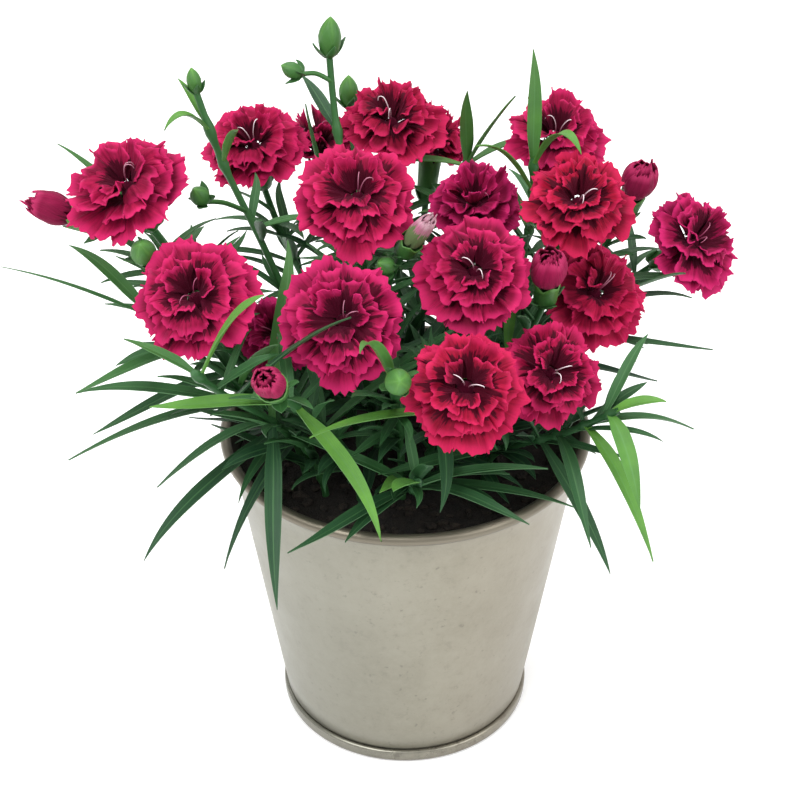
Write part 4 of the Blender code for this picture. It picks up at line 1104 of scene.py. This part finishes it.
def leaf_shape(lines):
    """Foot, bend, tip and width of a planned leaf"""
    left, mids, right = lines
    foot_share, bend_share, tip_share = SECOND_POINT
    bend = (mids[1] - foot_share * mids[0] - tip_share * mids[-1]) / bend_share
    return mids[0], bend, mids[-1], np.linalg.norm(right[1] - left[1]) / LEAF_WIDTHS[1]


def stem_parts(name, chain, leaves, way):
    """Stalk with knuckles, and the leaves that grow from them"""
    rng = random.Random(sum(ord(c) for c in name))
    line = smooth_line(chain + [chain[-1] + unit(way) * 1.5], STALK_RINGS)
    radii = np.full(STALK_RINGS, STEM_RADIUS) * np.linspace(1.05, 0.78, STALK_RINGS)
    parts = []
    for lines in leaves:
        foot, bend, tip, width = leaf_shape(lines)
        start, ring = nearest_on(line, foot)
        knuckle = np.exp(-((np.arange(STALK_RINGS) - ring) / 1.1) ** 2)
        radii = np.maximum(radii, STEM_RADIUS * (0.95 + 0.62 * knuckle))
        tone = leaf_tone(tip, bend, rng)
        parts.append(blade(start, bend, tip, width, rng.uniform(-0.5, 0.5), tone,
                           rng.uniform(0.25, 0.5), leaf_blade, rng.uniform(-0.05, 0.05)))
    for lines in tufts[name]:
        foot, bend, tip, width = leaf_shape(lines)
        # Painted shade: tufts deep in the plant are painted darker than the leaves round them
        tone = leaf_tone(tip, bend, rng) * 0.75
        parts.append(blade(nearest_on(line, foot)[0], bend, tip, width, rng.uniform(-0.5, 0.5),
                           tone, 0.34, tuft_blade, rng.uniform(-0.09, 0.09)))
    tone = 0.24 + 0.26 * min(1.0, max(0.0, (chain[-1][2] - 150.0) / 70.0))
    parts.insert(0, rod_along(*stalk, line, radii, tone))
    return parts


def keep_green(name, parts):
    """Make a stem's piece and let it stand for its solid"""
    piece = join_parts(name + "_grown", parts, green)
    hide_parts(name)
    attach(piece, "root")


for name, centre, facing, size in BLOOMS:
    owner, chain, leaves = stems["bloom_stem" + name[5:]]
    rng = random.Random(owner)
    n = unit(facing)
    foot = np.array(centre, float) - n * CALYX_FOOT
    parts = stem_parts("bloom_stem" + name[5:], chain, leaves, n)
    parts.append(stood(*cup, foot, n, CALYX_RADIUS, CALYX_FOOT - CALYX_TOP, 0.6))
    parts += scales(foot, n, CALYX_RADIUS * 0.8, 6.5, 0.55, rng)
    keep_green("bloom_stem" + name[5:], parts)

for name, end, way, radius, length, petals in BUD_STEMS:
    owner, chain, leaves = stems[name]
    rng = random.Random(owner)
    foot = np.array(end, float)
    parts = stem_parts(name, chain, leaves, way)
    if petals > 0.0:
        parts.append(stood(*cup, foot, way, radius, length, 0.62))
    else:
        parts.append(stood(*bud, foot, way, radius, length, 0.66))
    parts += scales(foot, way, radius * 0.82, length * 0.42, 0.55, rng, 0.8)
    for side_of, where, side_end, side_way, side_radius, side_length in SIDE_BUDS:
        if side_of == name:
            start, along = on_stem(chain, where)
            tip = np.array(side_end, float)
            bend = (start + tip) / 2 + along * 1.5
            line = smooth_line([start, bend, tip, tip + unit(side_way)], STALK_RINGS)
            parts.append(rod_along(*stalk, line, np.full(STALK_RINGS, 0.9), 0.6))
            parts.append(stood(*bud, tip, side_way, side_radius, side_length, 0.62))
            parts += scales(tip, side_way, side_radius * 0.82, side_length * 0.45, 0.55, rng, 0.9)
    keep_green(name, parts)

for name, end, way in SHOOTS:
    owner, chain, leaves = stems[name]
    keep_green(name, stem_parts(name, chain, leaves, way))

# Blooms. Each is a full double flower: broad outer petals laid flat, a cupped ring over them, and
# a few upright ones round a dark open eye. Every petal is crinkled and finely toothed at its edge.
PETAL_CELLS_ACROSS = 42
PETAL_CELLS_ALONG = 9
PETAL_SHEET = 0.34
TOOTH_LENGTH = 0.065
TOOTH_UNEVEN = (-0.055, 0.045)
# Each ring of petals: height of the foot; how far out and up the middle and then the rim lie, out
# in shares of the bloom's radius; half a petal's width in degrees, petals, ruffle, and turn
BLOOM_RINGS = ((-0.7, 0.52, 0.6, 1.00, 0.0, 42.0, 5, 1.35, 0.0),
               (0.8, 0.50, 4.0, 0.87, 4.2, 38.0, 5, 1.7, 0.5),
               (2.0, 0.40, 7.2, 0.67, 8.0, 37.0, 5, 1.6, 0.2),
               (3.0, 0.27, 8.0, 0.44, 11.0, 42.0, 3, 1.2, 0.6))
BUD_RINGS = ((-3.6, 0.88, 3.0, 0.66, 9.6, 58.0, 4, 0.35, 0.0),
             (-2.0, 0.55, 5.0, 0.30, 10.4, 66.0, 3, 0.25, 0.4))
# How red each bloom is, and how small its dark eye is; 1.0 is a middling one
BLOOM_LOOK = {"bloom_01": (0.40, 1.22), "bloom_02": (0.50, 1.08), "bloom_03": (0.50, 0.86),
              "bloom_04": (0.70, 0.95), "bloom_05": (0.40, 1.04), "bloom_06": (0.90, 0.84),
              "bloom_07": (0.15, 0.94), "bloom_08": (0.10, 1.36), "bloom_09": (0.40, 0.88),
              "bloom_10": (0.70, 1.26), "bloom_11": (0.35, 0.86), "bloom_12": (0.25, 0.80),
              "bloom_13": (0.00, 1.30), "bloom_14": (0.80, 0.86), "bloom_15": (0.50, 0.78),
              "bloom_16": (0.40, 0.85), "bloom_17": (0.60, 0.90)}

petal_sheet = sheet_master("petal_sheet", PETAL_CELLS_ACROSS, PETAL_CELLS_ALONG)
for v in petal_sheet.data.vertices:
    column = round((v.co.x + 1.0) / 2.0 * PETAL_CELLS_ACROSS)
    v.select = v.co.y > 0.99 and column % 2 == 1
only(petal_sheet)
bpy.ops.object.mode_set(mode="EDIT")
bpy.ops.transform.translate(value=(0.0, TOOTH_LENGTH, 0.0))
bpy.ops.object.mode_set(mode="OBJECT")
petal_points, petal_faces = finish_master(petal_sheet, 2.0)


def petal_surface(u, v, ring, radius, angle, waves, lean):
    """Where a petal lies, by its place across and along, in the bloom's own directions"""
    foot, mid_out, mid_up, rim_out, rim_up, half, count, ruffle, turn = ring
    core = 2.6 if foot < 2.0 else 1.9
    out = core + (4 * mid_out * radius - rim_out * radius - 3 * core) * v
    out = out + (2 * rim_out * radius - 4 * mid_out * radius + 2 * core) * v * v
    up = foot + (4 * mid_up - rim_up - 3 * foot) * v + (2 * rim_up - 4 * mid_up + 2 * foot) * v * v
    fan = math.radians(half) * (0.5 + 0.5 * np.clip(v * 1.5, 0.0, 1.0))
    a, b, c, d, e = waves
    deep = np.clip(v * 1.15 - 0.12, 0.0, 1.1) ** 1.4
    fold = 0.80 * np.sin(u * 3.4 + a) + 0.62 * np.sin(u * 7.6 + b) + 0.50 * np.sin(u * 15.0 + c)
    crinkle = 0.22 * np.sin(u * 27.0 + d) * np.sin(v * 5.0 + e)
    crinkle = crinkle + 0.3 * np.sin(v * 7.0 + u * 3.0 + e)
    up = up + ruffle * (deep * fold * 0.8 + v * crinkle * 0.6) + lean * u * v
    out = out * (1.0 - 0.20 * np.abs(u) ** 3 * v) + radius * 0.045 * deep * np.sin(u * 6.1 + d)
    at = angle + u * fan + 0.07 * deep * np.cos(u * 9.3 + b)
    return np.stack((out * np.cos(at), out * np.sin(at), up), axis=1)


def petal(centre, facing, ring, radius, angle, rng, look, lean):
    """One petal: the flat master laid on its surface, with its two faces a sheet apart"""
    u, v, face = petal_points.T
    waves = [rng.uniform(0.0, 6.28) for k in range(5)]
    teeth = [rng.uniform(*TOOTH_UNEVEN) for k in range(PETAL_CELLS_ACROSS + 1)]
    column = np.rint((u + 1.0) / 2.0 * PETAL_CELLS_ACROSS).astype(int)
    v = v + np.where(v > 0.97, np.array(teeth)[column], 0.0)
    small = 0.004
    here = petal_surface(u, v, ring, radius, angle, waves, lean)
    across = petal_surface(u + small, v, ring, radius, angle, waves, lean) - here
    along = petal_surface(u, v + small, ring, radius, angle, waves, lean) - here
    local = here + rows_unit(np.cross(across, along)) * (face * PETAL_SHEET / 2)[:, None]
    n = unit(facing)
    side, front = frame_of(n)
    laid = centre + local[:, 0:1] * side + local[:, 1:2] * front + local[:, 2:3] * n
    marks = {"reach": np.clip(v, 0.0, 1.1), "across": u, "redness": np.full(len(u), look[0]),
             "spread": np.full(len(u), look[1]), "shade": np.full(len(u), rng.uniform(0.0, 1.0))}
    return laid, petal_faces, marks


def heart(centre, facing, radius, low, high):
    """The dark heart of a flower that its petals stand round, down into the calyx"""
    foot = np.array(centre, float) + unit(facing) * low
    points, faces, marks = stood(*bud, foot, facing, radius, high - low, 0.0)
    marks = {"reach": 0.0, "across": 0.0, "redness": 0.0, "spread": 1.0, "shade": 0.0}
    return points, faces, {key: np.full(len(points), value) for key, value in marks.items()}


def bloom_parts(name, centre, facing, radius, rings, look):
    """All petals of one flower, ring by ring, each turned, lifted and sized a little differently"""
    rng = random.Random(sum(ord(c) for c in name) * 13)
    parts = [heart(centre, facing, 3.0 if radius > 10.0 else 2.2, -5.0, 4.5)]
    for index, ring in enumerate(rings):
        count = ring[6]
        turn = ring[8] * 2 * math.pi / count + rng.uniform(0.0, 0.5)
        for k in range(count):
            angle = turn + 2 * math.pi * (k + rng.uniform(0.41, 0.59)) / count
            size = radius * rng.uniform(0.86, 1.04)
            own = list(ring)
            own[2] += rng.uniform(-0.5, 0.9) * (0.5 + 0.5 * index)
            own[4] += rng.uniform(-1.0, 2.2) * (0.5 + 0.5 * min(index, 2))
            own[5] *= rng.uniform(0.97, 1.14)
            own[7] *= rng.uniform(0.75, 1.3)
            lean = 1.1 + rng.uniform(-0.6, 1.6) * min(index, 2)
            parts.append(petal(np.array(centre, float), facing, tuple(own), size, angle, rng,
                               look, lean))
    return parts


def petal_material(name, blades, rims, eye, eye_reach):
    """Velvety petal, veined along its length, darkest in the eye and pink at the teeth"""
    mat, tree, out = fresh_material(name)
    reach, across, redness = mark(tree, "reach"), mark(tree, "across"), mark(tree, "redness")
    shade, opened = mark(tree, "shade"), mark(tree, "spread")
    where = put(tree, "ShaderNodeTexCoord").outputs["Object"]
    lie = put(tree, "ShaderNodeCombineXYZ", None, {"X": across, "Y": reach, "Z": shade}).outputs[0]
    vein = noise(tree, stretched(tree, lie, (6.0, 0.7, 9.0)), 2.2, 4.0, 0.6)
    lobes = noise(tree, stretched(tree, lie, (2.6, 0.5, 9.0)), 2.0, 6.0, 0.65)
    far = put(tree, "ShaderNodeMath", {"operation": "MULTIPLY"}, {0: reach, 1: opened}).outputs[0]
    edge = put(tree, "ShaderNodeMath", {"operation": "MULTIPLY_ADD"},
               {0: lobes, 1: 1.25, 2: eye_reach - 0.62}).outputs[0]
    inside = put(tree, "ShaderNodeMath", {"operation": "SUBTRACT"}, {0: edge, 1: far}).outputs[0]
    colour = mix(tree, redness, *blades)
    rim = mix(tree, redness, *rims)
    colour = mix(tree, clouding(tree, where, 75.0, 0.0, 0.22), colour, rim)
    colour = mix(tree, ranged(tree, vein, 0.40, 0.62, 0.34, 0.0), colour, eye)
    colour = mix(tree, ranged(tree, shade, 0.3, 1.0, 0.0, 0.42), colour, eye)
    colour = mix(tree, ranged(tree, reach, 0.84, 1.04, 0.0, 0.62), colour, rim)
    colour = mix(tree, ranged(tree, inside, -0.045, 0.035, 0.0, 0.88), colour, eye)
    coat(tree, out, {"Base Color": colour, "Roughness": clouding(tree, where, 90.0, 0.60, 0.78),
                     "Sheen Weight": 0.06, "Sheen Roughness": 0.5,
                     "Sheen Tint": (1.0, 0.25, 0.5, 1.0), "Specular IOR Level": 0.10,
                     "Normal": bumped(tree, vein, 0.6, 0.0007)})
    return mat


crimson = petal_material("crimson_petal",
                         ((0.300, 0.0046, 0.060, 1.0), (0.315, 0.0038, 0.021, 1.0)),
                         ((0.60, 0.022, 0.165, 1.0), (0.56, 0.014, 0.075, 1.0)),
                         (0.040, 0.0011, 0.0080, 1.0), 0.60)
for name, centre, facing, size in BLOOMS:
    parts = bloom_parts(name, centre, facing, size, BLOOM_RINGS, BLOOM_LOOK[name])
    piece = join_parts(name + "_petals", parts, crimson)
    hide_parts(name)
    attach(piece, "root")

# Petals breaking from the buds. Still rolled, they are a duller dark magenta, and the youngest
# shows only a pale tip above green.
BUD_LOOK = (0.4, 1.0)
PALE_UNDER = 5.0
pale = petal_material("opening_petal", ((0.50, 0.16, 0.30, 1.0), (0.50, 0.10, 0.22, 1.0)),
                      ((0.70, 0.48, 0.56, 1.0), (0.70, 0.45, 0.50, 1.0)),
                      (0.085, 0.20, 0.055, 1.0), 0.72)
young = petal_material("young_petal", ((0.27, 0.007, 0.065, 1.0), (0.25, 0.005, 0.035, 1.0)),
                       ((0.50, 0.040, 0.150, 1.0), (0.48, 0.030, 0.10, 1.0)),
                       (0.08, 0.002, 0.016, 1.0), 0.25)
for name, end, way, radius, length, petals in BUD_STEMS:
    if petals > 0.0:
        centre = np.array(end, float) + unit(way) * (length + 2.2)
        parts = bloom_parts("bud_petals" + name[8:], centre, way, petals, BUD_RINGS, BUD_LOOK)
        finish = pale if petals < PALE_UNDER else young
        piece = join_parts("bud_petals" + name[8:] + "_rolled", parts, finish)
        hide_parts("bud_petals" + name[8:])
        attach(piece, "root")

# Styles. Two thin threads curl out of the eye of each open bloom, white in some and dusky in
# the others, and blushed pink at the foot.
STYLE_RINGS = 16
style = rod_master("style_thread", 6, STYLE_RINGS)
style_parts = []
WHITE_STYLES = ("bloom_02", "bloom_04", "bloom_05", "bloom_06", "bloom_09", "bloom_14",
                "bloom_15")
for name, centre, facing, size in BLOOMS:
    rng = random.Random(sum(ord(c) for c in name) + 9)
    whiteness = 1.0 if name in WHITE_STYLES else rng.uniform(0.0, 0.3)
    n = unit(facing)
    side, front = frame_of(n)
    for k in range(2):
        turn = rng.uniform(0.0, 2 * math.pi)
        out = side * math.cos(turn) + front * math.sin(turn)
        foot = np.array(centre, float) + n * 2.5 + out * 0.5
        tall = rng.uniform(7.5, 10.5)
        path = [foot, foot + n * tall * 0.6 + out * 0.8, foot + n * tall + out * 2.6,
                foot + n * tall * 0.96 + out * 4.6, foot + n * tall * 0.78 + out * 4.9]
        line = smooth_line(path, STYLE_RINGS)
        radii = np.linspace(0.27, 0.13, STYLE_RINGS)
        style_parts.append(rod_along(*style, line, radii, whiteness))
mat, tree, out = fresh_material("style_white")
tips = mix(tree, mark(tree, "tone"), (0.33, 0.035, 0.12, 1.0), (0.82, 0.70, 0.74, 1.0))
blush = mix(tree, ranged(tree, mark(tree, "along"), 0.1, 0.7), (0.30, 0.02, 0.09, 1.0), tips)
coat(tree, out, {"Base Color": blush, "Roughness": 0.45})
styles = join_parts("curled_styles", style_parts, mat)
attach(styles, "root")

bpy.context.view_layer.update()
